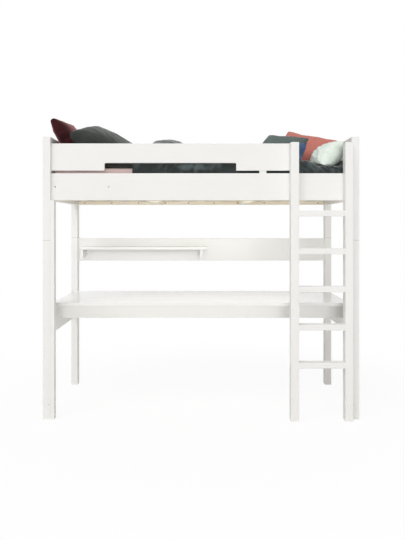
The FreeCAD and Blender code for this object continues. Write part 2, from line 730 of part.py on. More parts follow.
def rounded_rectangle(half_x, half_y, radius, level):
    """A level outline of four lines and four quarter arcs round the vertical axis."""
    edges = []
    diagonal = radius / 2**0.5
    for turn in range(4):
        along_x = turn % 2 == 0
        reach, width = (half_x, half_y) if along_x else (half_y, half_x)
        start = Vector(reach, -(width - radius), level)
        end = Vector(reach, width - radius, level)
        corner = Vector(reach - radius, width - radius, level)
        bend = corner + Vector(diagonal, diagonal, 0)
        after = corner + Vector(0, radius, 0)
        spin = FreeCAD.Rotation(Vector(0, 0, 1), 90 * turn)
        start, end, bend, after = [spin.multVec(point) for point in (start, end, bend, after)]
        edges += [line(start, end), arc(end, bend, after)]
    return Part.Wire(edges)


def make_mattress():
    """The mattress in its fitted sheet: a block with round corners and softly rolled rims."""
    half_x = number(f"{INNER} - mattress_end_gap")
    half_y = number(f"{MATTRESS_BACK} - {MATTRESS_FRONT}") / 2
    height, corner, edge = [number("mattress_" + word) for word in ("thickness", "corner", "edge")]
    bend = edge * (1 - 0.5**0.5)
    lower = [(0, edge), (bend, bend), (edge, 0)]
    upper = [(height - level, inset) for level, inset in reversed(lower)]
    outlines = [rounded_rectangle(half_x - inset, half_y - inset, corner - inset, level)
                for level, inset in lower + upper]
    soft("mattress", Part.makeLoft(outlines, True, True),
         at("0", f"({MATTRESS_FRONT} + {MATTRESS_BACK})/2", MATTRESS_LEVEL))


DUVET_LEFT = f"(-{INNER} + duvet_from_left)"
DUVET_RIGHT = f"({INNER} - duvet_from_right)"
HUMP_MIDDLE = f"(-{INNER} + hump_from_left)"
DUVET_LEVEL = f"({MATTRESS_TOP} + soft_clearance)"


def make_duvet():
    """The duvet: a crowned sheet with a bunched fold across it, hanging over the mattress's front.

    Its outline in the bed's depth is lines and one arc, lofted along the bed."""
    front = number(f"{RAIL_INSIDE} + duvet_front_gap")
    back = number(f"{BOARD_FACE['back']} - duvet_back_gap")
    step = number(f"{MATTRESS_FRONT} - soft_clearance")
    level = number(DUVET_LEVEL)
    hem = level - number("duvet_hang")
    thick, flat, crown = [number("duvet_" + word) for word in ("thickness", "flat", "crown")]
    hump, half_hump = number("hump_height"), number("hump_width/2")
    bend, shoulder = number("shoulder_place"), number("shoulder_height")
    middle = number(HUMP_MIDDLE)
    left, right = number(DUVET_LEFT), number(DUVET_RIGHT)
    cushions = number(f"{INNER} - flat_from_right")

    def outline(across, side, rise):
        points = [Vector(across, depth, height) for depth, height in
                  ((back, level + side), (back, level), (step, level), (step, hem), (front, hem),
                   (front, level + side))]
        edges = [line(*pair) for pair in zip(points, points[1:])]
        top = Vector(across, (front + back) / 2, level + side + rise)
        return Part.Wire(edges + [arc(points[-1], top, points[0])])

    stations = [(left, thick, crown),
                (middle - half_hump, thick, crown),
                (middle - bend, thick, shoulder - thick),
                (middle, thick, hump - thick),
                (middle + bend, thick, shoulder - thick),
                (middle + half_hump, thick, crown),
                ((middle + half_hump + cushions) / 2, thick, crown),
                (cushions, flat, crown),
                (right, flat, crown)]
    pieces = [Part.makeLoft([outline(*first), outline(*second)], True, True)
              for first, second in zip(stations, stations[1:])]
    soft("duvet", pieces[0].multiFuse(pieces[1:]).removeSplitter(), FreeCAD.Placement())


# How far in from the seam a pillow's outlines lie, as shares of its full outline
CROWN_SHARES = (1, 0.93, 0.75, 0.5, 0.25)
# Lines in each side of such an outline
SIDE_LINES = 6


def drawn_outline(half_x, half_y, level):
    """A level outline of short lines, drawn in between the corners as sewn sides are.

    The inset of a side is a parabola: nothing at the corners and most in the middle."""
    draw = number("pillow_draw")
    steps = [2 * step / SIDE_LINES - 1 for step in range(SIDE_LINES)]
    side = [(share, -(1 - draw * (1 - share**2))) for share in steps]
    points = []
    for quarter in range(4):
        points += [Vector(half_x * x, half_y * y, level) for x, y in side]
        side = [(-y, x) for x, y in side]
    return points


def flat_loft(outlines):
    """A solid skinned with flat faces through level outlines of the same shape, from low to high."""
    faces = [Part.Face(Part.makePolygon(outline + outline[:1])) for outline in (outlines[0], outlines[-1])]
    for below, above in zip(outlines, outlines[1:]):
        for turn, start in enumerate(below):
            corners = [start, below[turn - 1], above[turn - 1], above[turn], start]
            faces.append(Part.Face(Part.makePolygon(corners)))
    return Part.Solid(Part.Shell(faces))


def stuffed(width, height, thickness):
    """A pillow lying flat: outlines that shrink towards the crown on both sides of the seam.

    The rise above the seam is a quarter ellipse of the distance from it."""
    seam = number("pillow_seam")
    upper = [(share, seam / 2 + (thickness - seam) / 2 * (1 - share**2) ** 0.5) for share in CROWN_SHARES]
    lower = [(share, -level) for share, level in reversed(upper)]
    return flat_loft([drawn_outline(width / 2 * share, height / 2 * share, level)
                      for share, level in lower + upper])


def pillow_sizes(name):
    return [number(f"{name}_{word}") for word in PILLOW_WORDS]


def pillow_rest(name):
    """The level on which a pillow's underside is pressed flat."""
    if name in LEFT_PILLOWS:
        return number(f"{MATTRESS_TOP} + soft_clearance")
    return number(f"{DUVET_LEVEL} + duvet_flat + duvet_crown + soft_clearance")


def pillow_placement(name, shape):
    """Where a pillow leans: turned, tilted and let down until its underside is pressed in."""
    from_end, from_front, turn, tilt, lean, sink = pillow_sizes(name)[3:]
    spin = FreeCAD.Rotation(turn, tilt, lean)
    turned = shape.copy()
    turned.Placement = FreeCAD.Placement(Vector(), spin)
    across = from_end - number(INNER) if name in LEFT_PILLOWS else number(INNER) - from_end
    level = pillow_rest(name) - sink - turned.BoundBox.ZMin
    return FreeCAD.Placement(Vector(across, number(FRONT) + from_front, level), spin)


def make_pillow(name):
    """A pillow leaned against its neighbours, pressed in where it rests and where they lie."""
    shape = stuffed(*pillow_sizes(name)[:3])
    placement = pillow_placement(name, shape)
    gap = number("soft_clearance")
    reach = number("bed_length")
    rest = pillow_rest(name)
    pressing = [Part.makeBox(2 * reach, 2 * reach, reach, Vector(-reach, -reach, rest - reach))]
    if name == "slate":
        step = number(f"{DUVET_LEVEL} + duvet_thickness + duvet_crown") + gap
        pressing.append(Part.makeBox(reach, 2 * reach, reach,
                                     Vector(number(DUVET_LEFT) - gap, -reach, step - reach)))
    for neighbour in PRESSED_BY.get(name, ()):
        sizes = pillow_sizes(neighbour)[:3]
        grown = stuffed(*[size + 2 * gap for size in sizes])
        grown.Placement = pillow_placement(neighbour, stuffed(*sizes))
        pressing.append(grown)
    for solid in pressing:
        solid.Placement = placement.inverse() * solid.Placement
        shape = shape.cut(solid)
    soft(f"pillow_{name}", shape, placement)


for row_name in ROWS:
    for side_name in SIDES:
        make_leg(side_name, row_name)
        make_post(side_name, row_name)
for side_name in SIDES:
    make_end(side_name)
for row_name in ROWS:
    make_side_rail(row_name)
make_front_guard()
make_spacer()
make_back_boards()
make_slatted_base()
make_ladder()
make_splint()
make_desk()
make_shelf()
make_fasteners()
make_mattress()
make_duvet()
for pillow in PILLOWS:
    make_pillow(pillow)

doc.recompute()
for thing in doc.Objects:
    if "Invalid" in thing.State or "Error" in thing.State:
        raise RuntimeError(f"{thing.Label} failed: {thing.State}")
for subpart in SUBPARTS:
    if subpart.Shape.isNull() or not subpart.Shape.isValid():
        raise RuntimeError(f"{subpart.Label} has no valid shape")

os.makedirs("parts", exist_ok=True)
for subpart in SUBPARTS:
    subpart.Shape.exportStep(f"parts/{subpart.Label}.step")
print(f"{len(SUBPARTS)} sub-parts")
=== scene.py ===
# %% [markdown]
# # A white loft bed with its bedding
# The wooden frame of this bed is already a set of exact solids, so Blender does two things here: it gives
# every board, bolt and slat a finish, and it makes the bedding, which no solid can stand for. Everything is
# in metres, X along the bed, Y from the front to the back and Z up.

# %% Load the frame
import json

import bpy
import numpy as np
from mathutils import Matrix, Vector


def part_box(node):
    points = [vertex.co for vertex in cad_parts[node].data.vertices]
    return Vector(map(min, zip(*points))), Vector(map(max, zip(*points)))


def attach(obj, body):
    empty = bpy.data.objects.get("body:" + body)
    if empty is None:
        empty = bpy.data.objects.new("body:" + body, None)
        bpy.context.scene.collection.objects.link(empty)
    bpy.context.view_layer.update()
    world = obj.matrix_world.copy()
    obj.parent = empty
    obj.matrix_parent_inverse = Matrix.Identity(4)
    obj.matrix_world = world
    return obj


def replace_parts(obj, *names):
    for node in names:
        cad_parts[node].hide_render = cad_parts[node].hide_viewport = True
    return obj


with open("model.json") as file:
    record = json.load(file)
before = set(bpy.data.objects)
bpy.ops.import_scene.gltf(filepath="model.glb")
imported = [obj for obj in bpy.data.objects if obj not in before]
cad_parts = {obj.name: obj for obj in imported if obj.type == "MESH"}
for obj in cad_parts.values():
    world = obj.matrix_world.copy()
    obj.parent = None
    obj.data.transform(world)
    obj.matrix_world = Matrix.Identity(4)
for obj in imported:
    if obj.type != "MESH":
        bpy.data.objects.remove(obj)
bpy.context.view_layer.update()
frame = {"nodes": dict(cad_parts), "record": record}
nodes = frame["nodes"]
scene = bpy.context.scene

# %% [markdown]
# ## The camera
# The picture was taken from straight in front and below the height of the mattress, with the camera held
# level: upright posts stay upright in it. A level camera with a shifted lens gives the same view, so the lens
# shift carries the framing and the camera itself isn't tilted.

# %% Camera
PICTURE_WIDTH = 404
PICTURE_HEIGHT = 540
FOCAL_PIXELS = 650.9
HORIZON_PIXEL = (202.4, 225.5)
EYE = (0.0088, -4.777, 1.280)
SENSOR = 36.0

lens = bpy.data.cameras.new("camera")
lens.sensor_width = SENSOR
lens.lens = FOCAL_PIXELS / PICTURE_HEIGHT * SENSOR
lens.shift_x = (PICTURE_WIDTH / 2 - HORIZON_PIXEL[0]) / PICTURE_HEIGHT
lens.shift_y = (HORIZON_PIXEL[1] - PICTURE_HEIGHT / 2) / PICTURE_HEIGHT
camera = bpy.data.objects.new("camera", lens)
camera.location = EYE
camera.rotation_euler = (np.pi / 2, 0, 0)
scene.collection.objects.link(camera)
scene.camera = camera
print(f"lens {lens.lens:.2f} mm, shift {lens.shift_x:.4f} {lens.shift_y:.4f}")

# %% [markdown]
# ## Helpers for shader nodes
# A node tree is easier to read when each node is one call. `node` makes a node, sets its options and fills
# its inputs: a socket given as a value is linked, anything else becomes the input's own number or colour.
# The other helpers are the few nodes that every finish of this bed needs.


# %% Node helpers
def node(tree, kind, inputs=None, **options):
    """One shader node. options are its settings, inputs maps a socket's name or place to what goes in."""
    made = tree.nodes.new(kind)
    for option, value in options.items():
        setattr(made, option, value)
    for socket, value in (inputs or {}).items():
        if isinstance(value, bpy.types.NodeSocket):
            tree.links.new(value, made.inputs[socket])
        else:
            made.inputs[socket].default_value = value
    return made


def blend_colours(tree, share, first, second):
    """The colour that goes from first to second as share goes from 0 to 1."""
    mixed = node(tree, "ShaderNodeMix", {0: share, 6: first, 7: second}, data_type="RGBA")
    return mixed.outputs[2]


def spread(tree, value, low, high, to_low, to_high):
    """A value moved in a straight line from the range low..high to the range to_low..to_high."""
    ranged = node(tree, "ShaderNodeMapRange", {
        "Value": value, "From Min": low, "From Max": high, "To Min": to_low, "To Max": to_high})
    return ranged.outputs[0]


def combine(tree, operation, first, second):
    """Two values put together by one operation of arithmetic."""
    return node(tree, "ShaderNodeMath", {0: first, 1: second}, operation=operation).outputs[0]


# %% Pattern helpers
NOISE_RANGE = (0.3, 0.7)


def on_object(tree):
    """Places in the object's own coordinates, so that a pattern stays with its board."""
    return node(tree, "ShaderNodeTexCoord").outputs["Object"]


def noise(tree, place, scale, detail=2.0, roughness=0.5, distortion=0.0):
    """A cloudy pattern of values about 0.5."""
    return node(tree, "ShaderNodeTexNoise", {
        "Vector": place, "Scale": scale, "Detail": detail, "Roughness": roughness,
        "Distortion": distortion}).outputs["Fac"]


def from_noise(tree, cloud, low, high):
    """A noise, most of which lies in the noise range, spread from low to high."""
    return spread(tree, cloud, *NOISE_RANGE, low, high)


def relief_of(tree, height, strength, distance, below=None):
    """The normal of a surface with a height pattern pressed into it, on top of the normal below, if any."""
    bump = node(tree, "ShaderNodeBump", {"Height": height, "Strength": strength, "Distance": distance})
    if below is not None:
        tree.links.new(below, bump.inputs["Normal"])
    return bump.outputs[0]


def principled(tree, inputs):
    """Blender's all-round surface shader."""
    return node(tree, "ShaderNodeBsdfPrincipled", inputs).outputs[0]


def finish_with(name, build, **settings):
    """A material whose surface is the shader that build(tree, **settings) returns."""
    material = bpy.data.materials.new(name)
    material.use_nodes = True
    tree = material.node_tree
    tree.nodes.clear()
    node(tree, "ShaderNodeOutputMaterial", {"Surface": build(tree, **settings)})
    return material


# %% [markdown]
# ## Floor, daylight and lamps
# The bed stands on white, so the background is white wherever the camera, a gloss or a pane looks at it,
# while the light that the world gives is weaker. The floor does the same: the camera sees a white floor with
# only a breath of shadow, and the bed gets the warm light that a pale wooden floor throws back. Two broad
# suns give the form its light and shade, and two panels under the bed lighten what the boards would leave
# grey.

# %% World
SKY_LOW = 0.24
SKY_HIGH = 0.56
WHITE = (1, 1, 1, 1)


def seen_directly(tree):
    """1 for camera, mirror and glass rays, 0 for the rays that carry light to a surface."""
    path = node(tree, "ShaderNodeLightPath")
    mirrored = combine(tree, "MAXIMUM", path.outputs["Is Glossy Ray"], path.outputs["Is Transmission Ray"])
    return combine(tree, "MAXIMUM", path.outputs["Is Camera Ray"], mirrored)


world = bpy.data.worlds.new("white_studio")
world.use_nodes = True
sky = world.node_tree
sky.nodes.clear()
heading = node(sky, "ShaderNodeTexCoord").outputs["Generated"]
upward = node(sky, "ShaderNodeSeparateXYZ", {0: heading}).outputs[2]
daylight = spread(sky, upward, 0, 1, SKY_LOW, SKY_HIGH)
strength = node(sky, "ShaderNodeMix", {0: seen_directly(sky), 2: daylight, 3: 1.0}).outputs[0]
background = node(sky, "ShaderNodeBackground", {"Color": WHITE, "Strength": strength})
node(sky, "ShaderNodeOutputWorld", {"Surface": background.outputs[0]})
scene.world = world
scene.view_settings.view_transform = "Standard"
print(f"sky gives {SKY_LOW} at the horizon and {SKY_HIGH} overhead, and is seen as white")

# %% Floor
FLOOR_REACH = 14.0
FLOOR_DARK = (0.83, 0.79, 0.71, 1)
FLOOR_LIGHT = (0.86, 0.82, 0.74, 1)
FLOOR_SEEN = (0.93, 0.93, 0.93, 1)
SHADOW_SHARE = 0.07
SHADOW_FROM = 1.4
SHADOW_TO = 2.6


def white_floor(tree):
    """White for the camera, with a share of the lit floor near the bed; a warm matt floor for other rays."""
    place = on_object(tree)
    far = node(tree, "ShaderNodeVectorMath", {0: place}, operation="LENGTH").outputs["Value"]
    shadow = spread(tree, far, SHADOW_FROM, SHADOW_TO, SHADOW_SHARE, 0.0)
    lit = node(tree, "ShaderNodeBsdfDiffuse", {"Color": FLOOR_SEEN})
    white = node(tree, "ShaderNodeEmission", {"Color": WHITE, "Strength": 1.0})
    shown = node(tree, "ShaderNodeMixShader", {0: shadow, 1: white.outputs[0], 2: lit.outputs[0]})
    colour = blend_colours(tree, noise(tree, place, 3.0), FLOOR_DARK, FLOOR_LIGHT)
    warm = node(tree, "ShaderNodeBsdfDiffuse", {"Color": colour})
    return node(tree, "ShaderNodeMixShader", {
        0: seen_directly(tree), 1: warm.outputs[0], 2: shown.outputs[0]}).outputs[0]


floor_mesh = bpy.data.meshes.new("floor")
corner = FLOOR_REACH * np.array([(-1, -1, 0), (1, -1, 0), (1, 1, 0), (-1, 1, 0)], float)
floor_mesh.from_pydata(corner.tolist(), [], [(0, 1, 2, 3)])
floor_mesh.materials.append(finish_with("pale_floor", white_floor))
floor = bpy.data.objects.new("floor", floor_mesh)
scene.collection.objects.link(floor)
print("floor of", 2 * FLOOR_REACH, "m, with its shadow fading out", SHADOW_TO, "m from the middle")

# %% Lamps
SUN_AWAY = 6


def soft_sun(name, direction, breadth, light):
    """Even light from a broad patch of sky: breadth is how wide the patch looks, in degrees."""
    sun = bpy.data.lights.new(name, "SUN")
    sun.angle = np.radians(breadth)
    sun.energy = light
    holder = bpy.data.objects.new(name, sun)
    holder.location = Vector(direction) * SUN_AWAY
    holder.rotation_euler = Vector(direction).to_track_quat("Z", "Y").to_euler()
    holder.visible_glossy = False
    scene.collection.objects.link(holder)


def fill_panel(name, place, direction, size, power):
    """A long soft panel inside the frame that lightens what the boards shade; the camera doesn't see it."""
    panel = bpy.data.lights.new(name, "AREA")
    panel.shape = "RECTANGLE"
    panel.size, panel.size_y = size
    panel.energy = power
    holder = bpy.data.objects.new(name, panel)
    holder.location = place
    holder.rotation_euler = (-Vector(direction)).to_track_quat("Z", "Y").to_euler()
    holder.visible_glossy = False
    holder.visible_camera = False
    scene.collection.objects.link(holder)


soft_sun("front_light", direction=(0.05, -1.0, 0.05), breadth=20, light=1.00)
soft_sun("window_light", direction=(-0.45, -0.70, 1.0), breadth=34, light=1.26)
fill_panel("desk_fill", place=(0.03, -0.36, 1.30), direction=(0, 0.82, -0.14), size=(1.8, 0.25), power=2.8)
fill_panel("knee_fill", place=(-0.10, -0.44, 0.30), direction=(0, 0.75, 0.40), size=(1.5, 0.30), power=1.3)
print(len(bpy.data.lights), "lamps in place")

# %% [markdown]
# ## Painted boards
# The frame is sawn pine under satin white paint. Close up such paint shows faint brush lines along the board,
# the fine skin of a roller and a slow change of tone. One flat white would look like plastic, so the finish
# stretches one noise along the grain and adds a fine one for the skin. A board's grain runs along its longest
# side, which its box tells.

# %% Paint
PAINT_LIGHT = (0.872, 0.875, 0.875, 1)
PAINT_DARK = (0.855, 0.855, 0.848, 1)
BRUSH_ACROSS = 140.0
BRUSH_ALONG = 5.0
SKIN_SCALE = 420.0
PATCH_SCALE = 2.6
JOINT_WIDTH = 0.0016
JOINT_COLOUR = (0.50, 0.48, 0.44, 1)
JOINT_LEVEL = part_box("leg_front_left")[1].z


def along_grain(tree, axis, across, along):
    """Object coordinates stretched so that a pattern is long along one axis and fine across it."""
    scale = [across] * 3
    scale[axis] = along
    return node(tree, "ShaderNodeMapping", {"Vector": on_object(tree), "Scale": scale}).outputs[0]


def painted(tree, axis, joint_level=None, roughness=(0.36, 0.50), coat=0.0):
    """White paint brushed along one axis. joint_level draws the hairline where a leg meets its post."""
    place = on_object(tree)
    brush = noise(tree, along_grain(tree, axis, BRUSH_ACROSS, BRUSH_ALONG), 1.0, detail=3.0)
    skin = noise(tree, place, SKIN_SCALE)
    patch = noise(tree, place, PATCH_SCALE)
    tone = combine(tree, "ADD", from_noise(tree, patch, 0.0, 0.7), from_noise(tree, brush, 0.0, 0.3))
    colour = blend_colours(tree, tone, PAINT_LIGHT, PAINT_DARK)
    if joint_level is not None:
        height = node(tree, "ShaderNodeSeparateXYZ", {0: place}).outputs[2]
        apart = combine(tree, "ABSOLUTE", combine(tree, "SUBTRACT", height, joint_level), 0.0)
        line = spread(tree, apart, 0.3 * JOINT_WIDTH, JOINT_WIDTH, 1.0, 0.0)
        colour = blend_colours(tree, line, colour, JOINT_COLOUR)
    strokes = spread(tree, brush, 0, 1, 0, 0.7)
    height = combine(tree, "ADD", strokes, spread(tree, skin, 0, 1, 0, 0.3))
    return principled(tree, {
        "Base Color": colour, "Roughness": from_noise(tree, brush, *roughness),
        "Normal": relief_of(tree, height, strength=0.18, distance=0.0007), "Coat Weight": coat})


paints = {axis: finish_with(f"white_paint_{'xyz'[axis]}", painted, axis=axis) for axis in range(3)}
post_paint = finish_with("white_paint_posts", painted, axis=2, joint_level=JOINT_LEVEL)
desk_paint = finish_with("desk_lacquer", painted, axis=0, roughness=(0.16, 0.26), coat=0.25)
print(len(paints) + 2, "paints, joint line at", round(JOINT_LEVEL, 3), "m")

# %% [markdown]
# ## Bare pine and steel
# Ledges, slats and ties stay unpainted: pale yellow wood with darker late-wood lines along the board. A noise
# drawn far out along the board gives the lines and a finer one the pores, which is simpler than cutting the
# rings of a tree and enough for boards this thin. The bolts are plated steel with a dull grey sheen.

# %% Pine
PINE_PALE = (0.88, 0.84, 0.73, 1)
PINE_LINE = (0.79, 0.71, 0.55, 1)


def bare_pine(tree, axis):
    """Sawn pine: year rings drawn out along one axis, with fine pores between them."""
    rings = noise(tree, along_grain(tree, axis, across=34.0, along=1.1), 1.4, detail=4.0, distortion=0.8)
    pores = noise(tree, along_grain(tree, axis, across=900.0, along=30.0), 1.0)
    colour = blend_colours(tree, spread(tree, rings, 0.42, 0.62, 0.0, 0.8), PINE_PALE, PINE_LINE)
    ridges = spread(tree, rings, 0, 1, 0, 0.5)
    height = combine(tree, "ADD", ridges, spread(tree, pores, 0, 1, 0, 0.5))
    return principled(tree, {
        "Base Color": colour, "Roughness": from_noise(tree, pores, 0.55, 0.72),
        "Normal": relief_of(tree, height, strength=0.3, distance=0.0008)})


pines = {axis: finish_with(f"bare_pine_{'xyz'[axis]}", bare_pine, axis=axis) for axis in (0, 1)}
print(len(pines), "ways for the pine's grain to run")

# %% Steel
ZINC_PALE = (0.62, 0.62, 0.62, 1)
ZINC_DULL = (0.48, 0.48, 0.49, 1)
CHROMATE_PALE = (0.34, 0.25, 0.14, 1)
CHROMATE_DARK = (0.22, 0.16, 0.09, 1)


def plated_steel(tree):
    """Zinc plate: a metal whose roughness and tone change in small cloudy spots."""
    cloud = noise(tree, on_object(tree), 260.0, detail=3.0)
    return principled(tree, {
        "Base Color": blend_colours(tree, cloud, ZINC_PALE, ZINC_DULL), "Metallic": 1.0,
        "Roughness": from_noise(tree, cloud, 0.28, 0.5),
        "Normal": relief_of(tree, cloud, strength=0.15, distance=0.0003)})


def brown_screw(tree):
    """Chromated screw: a yellow-brown metal, duller where the driver has worn it."""
    rub = noise(tree, on_object(tree), 700.0)
    return principled(tree, {
        "Base Color": blend_colours(tree, rub, CHROMATE_PALE, CHROMATE_DARK), "Metallic": 0.8,
        "Roughness": from_noise(tree, rub, 0.4, 0.6)})


steel = finish_with("bolt_steel", plated_steel)
screw_brown = finish_with("screw_brown", brown_screw)
print("metals:", steel.name, screw_brown.name)

# %% [markdown]
# ## Finishes onto the solids
# The record says which finish each solid takes. Painted and bare boards also need their grain turned the
# right way, which is the longest side of the solid's box. The slats are one solid made of many boards, so
# they are told apart by name.


# %% Assign finishes
def grain_of(name):
    """The axis of a solid's longest side; slats lie across the bed."""
    low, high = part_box(name)
    return 1 if name == "slats" else int(np.argmax(np.array(high) - np.array(low)))


def finish_of(name, slot):
    """The finish of one solid, from its slot in the record and the way its grain runs."""
    if slot == "white_paint":
        upright = name.startswith(("leg_front", "leg_back", "post_"))
        return post_paint if upright else paints[grain_of(name)]
    return {"desk_lacquer": desk_paint, "bolt_steel": steel}.get(slot) or pines[min(grain_of(name), 1)]


slot_of = {part["node"]: part["material_slot"] for part in frame["record"]["subparts"]}
hard_slots = ("white_paint", "desk_lacquer", "bare_pine", "bolt_steel")
for name, slot in slot_of.items():
    if slot in hard_slots:
        nodes[name].data.materials.clear()
        nodes[name].data.materials.append(finish_of(name, slot))
print(sum(slot in hard_slots for slot in slot_of.values()), "solids finished")

# %% [markdown]
# ## Meshes from arrays
# Each soft piece is a grid of points worked out as whole arrays. `grid_quads` numbers the faces of such a
# grid, and `mesh_piece` puts points and faces into Blender, with the cloth's flat coordinates as its UV map,
# so that a weave follows the cloth and not the room.


# %% Mesh helpers
def grid_quads(rows, columns, wrap=False):
    """Quads of a grid stored row after row; with wrap, the last column meets the first."""
    across = np.arange(columns if wrap else columns - 1)
    row, column = np.meshgrid(np.arange(rows - 1), across, indexing="ij")
    here = row * columns
    after = (column + 1) % columns
    corners = [here + column, here + after, here + columns + after, here + columns + column]
    return np.stack(corners, -1).reshape(-1, 4)


def outward(points, quads):
    """The quads, turned over if the volume that they enclose comes out negative."""
    a, b, c, d = (points[quads[:, corner]] for corner in range(4))
    volume = np.einsum("ij,ij->", a, np.cross(b, c)) + np.einsum("ij,ij->", a, np.cross(c, d))
    return quads if volume > 0 else quads[:, ::-1]


def mesh_piece(name, points, quads, flat=None, material=None):
    """An object at the origin with these points and smooth quads. flat is each point's place on the cloth."""
    mesh = bpy.data.meshes.new(name)
    mesh.vertices.add(points.size // 3)
    mesh.vertices.foreach_set("co", points.astype(np.float32).ravel())
    mesh.loops.add(quads.size)
    mesh.loops.foreach_set("vertex_index", quads.astype(np.int32).ravel())
    mesh.polygons.add(len(quads))
    mesh.polygons.foreach_set("loop_start", np.arange(0, quads.size, 4, dtype=np.int32))
    mesh.polygons.foreach_set("use_smooth", np.ones(len(quads), bool))
    if flat is not None:
        layer = mesh.uv_layers.new(name="flat")
        layer.data.foreach_set("uv", flat.reshape(-1, 2)[quads.ravel()].astype(np.float32).ravel())
    mesh.update(calc_edges=True)
    mesh.validate()
    if material is not None:
        mesh.materials.append(material)
    piece = bpy.data.objects.new(name, mesh)
    scene.collection.objects.link(piece)
    return piece


def show_size(name, points):
    """Prints the box of a piece's points."""
    corners = points.reshape(-1, 3)
    print(name, np.round(corners.min(0), 3), np.round(corners.max(0), 3))


# %% [markdown]
# ## Cloth finishes
# All the bedding is woven. A weave is two waves at right angles, one for each set of threads, and where they
# cross the cloth is highest. Noise drawn out along the threads gives the thick and thin places of real yarn,
# and a slow noise the washed, uneven dye. Velvet has no threads to see, but its pile catches light at the
# edges, which a sheen gives.

# %% Woven cloth
WAVE_PERIOD = 2 * np.pi / 20
YARN_STRETCH = (60, 900, 1)


def on_cloth(tree):
    """Places on the flat cloth, from the piece's own UV map."""
    return node(tree, "ShaderNodeUVMap", uv_map="flat").outputs[0]


def threads(tree, flat, pitch, direction):
    """A wave texture with one crest per thread."""
    return node(tree, "ShaderNodeTexWave", {
        "Vector": flat, "Scale": WAVE_PERIOD / pitch, "Distortion": 0.6, "Detail": 1.0},
        bands_direction=direction).outputs["Fac"]


def woven(tree, light, dark, pitch, relief=0.35, sheen=0.15, twill=0.0, crinkle=0.0, crest_highlight=None):
    """Cloth of two colours of thread, pitch apart. twill turns the weave and crinkle adds a crumpled surface.
    The last colour is a painted highlight: the fold crests are lightened towards it, as if light from above
    caught them, by how high the points' own attribute "crest" says each fold is."""
    flat = on_cloth(tree)
    slanted = node(tree, "ShaderNodeMapping", {"Vector": flat, "Rotation": (0, 0, twill)}).outputs[0]
    warp, weft = (threads(tree, slanted, pitch, direction) for direction in "XY")
    weave = combine(tree, "MULTIPLY", warp, weft)
    drawn = node(tree, "ShaderNodeMapping", {"Vector": flat, "Scale": YARN_STRETCH}).outputs[0]
    yarn = from_noise(tree, noise(tree, drawn, 1.0), -0.05, 0.22)
    dye = from_noise(tree, noise(tree, flat, 9.0, detail=4.0), -0.12, 0.22)
    thread = combine(tree, "ADD", combine(tree, "MULTIPLY", weave, 0.5), yarn)
    colour = blend_colours(tree, combine(tree, "ADD", thread, dye), dark, light)
    # painted highlight: the fold crests are lightened, as if light from above caught them
    if crest_highlight is not None:
        crest = node(tree, "ShaderNodeAttribute", attribute_name="crest").outputs["Fac"]
        colour = blend_colours(tree, spread(tree, crest, 0.40, 1.0, 0.0, 0.65), colour, crest_highlight)
    crumple = noise(tree, flat, 38.0, detail=5.0, roughness=0.62, distortion=0.7)
    folded = relief_of(tree, crumple, strength=crinkle, distance=0.012)
    return principled(tree, {
        "Base Color": colour, "Roughness": 0.85, "Sheen Weight": sheen, "Sheen Roughness": 0.5,
        "Normal": relief_of(tree, weave, strength=relief, distance=0.4 * pitch, below=folded),
        "Specular IOR Level": 0.25})


# %% Velvet
def velvet(tree, light, dark):
    """Short pile: a dark cloth with brushed lighter patches and a strong sheen at its edges."""
    flat = on_cloth(tree)
    nap = noise(tree, flat, 7.0, detail=3.0, distortion=1.2)
    pile = noise(tree, flat, 1500.0, detail=1.0)
    return principled(tree, {
        "Base Color": blend_colours(tree, spread(tree, nap, 0.35, 0.7, 0.0, 1.0), dark, light),
        "Normal": relief_of(tree, pile, strength=0.25, distance=0.0008), "Roughness": 0.9,
        "Sheen Weight": 0.8, "Sheen Roughness": 0.35, "Sheen Tint": (1.0, 0.50, 0.48, 1),
        "Specular IOR Level": 0.2})


# %% Cloths of this bed
WEAVES = {
    "pink_sheet": dict(light=(0.92, 0.73, 0.71, 1), dark=(0.86, 0.66, 0.63, 1), pitch=0.0009, relief=0.2),
    # the duvet's last colour is a painted highlight on its fold crests
    "duvet_cotton": dict(light=(0.056, 0.071, 0.070, 1), dark=(0.018, 0.025, 0.025, 1), pitch=0.0010,
                         relief=0.2, sheen=0.65, crinkle=0.4, crest_highlight=(0.120, 0.155, 0.165, 1)),
    "slate_cotton": dict(light=(0.074, 0.077, 0.064, 1), dark=(0.028, 0.034, 0.032, 1), pitch=0.0010,
                         relief=0.2, sheen=0.3, crinkle=0.3),
    "coral_cotton": dict(light=(0.64, 0.23, 0.185, 1), dark=(0.51, 0.17, 0.135, 1), pitch=0.0011,
                         crinkle=0.2),
    "forest_cotton": dict(light=(0.140, 0.185, 0.170, 1), dark=(0.085, 0.115, 0.107, 1), pitch=0.0011,
                          crinkle=0.2),
    "blue_denim": dict(light=(0.17, 0.30, 0.54, 1), dark=(0.006, 0.018, 0.060, 1), pitch=0.0110, relief=0.7,
                       twill=0.5),
    "mint_cotton": dict(light=(0.86, 0.93, 0.86, 1), dark=(0.77, 0.85, 0.77, 1), pitch=0.0012, crinkle=0.5),
    "mattress_ticking": dict(light=(0.80, 0.79, 0.76, 1), dark=(0.70, 0.69, 0.66, 1), pitch=0.0016,
                             crinkle=0.1),
}
cloths = {name: finish_with(name, woven, **look) for name, look in WEAVES.items()}
cloths["burgundy_velvet"] = finish_with(
    "burgundy_velvet", velvet, light=(0.052, 0.010, 0.013, 1), dark=(0.016, 0.004, 0.005, 1))
print(len(cloths), "cloth finishes")

# %% [markdown]
# ## The mattress and its fitted sheet
# A mattress is a rounded block, so its section across the bed is a rectangle with round corners, carried
# along X and drawn in at both ends. A cube with a Bevel modifier would look alike, but the sheet can use this
# same surface a little further out, open underneath where its elastic hem ends. It is pulled tight, so it
# only has shallow creases that run to the corners.

# %% Rounded block
EDGE_POWER = 0.12
EDGE_STEPS = 9
OUTLINE_STEPS = 721


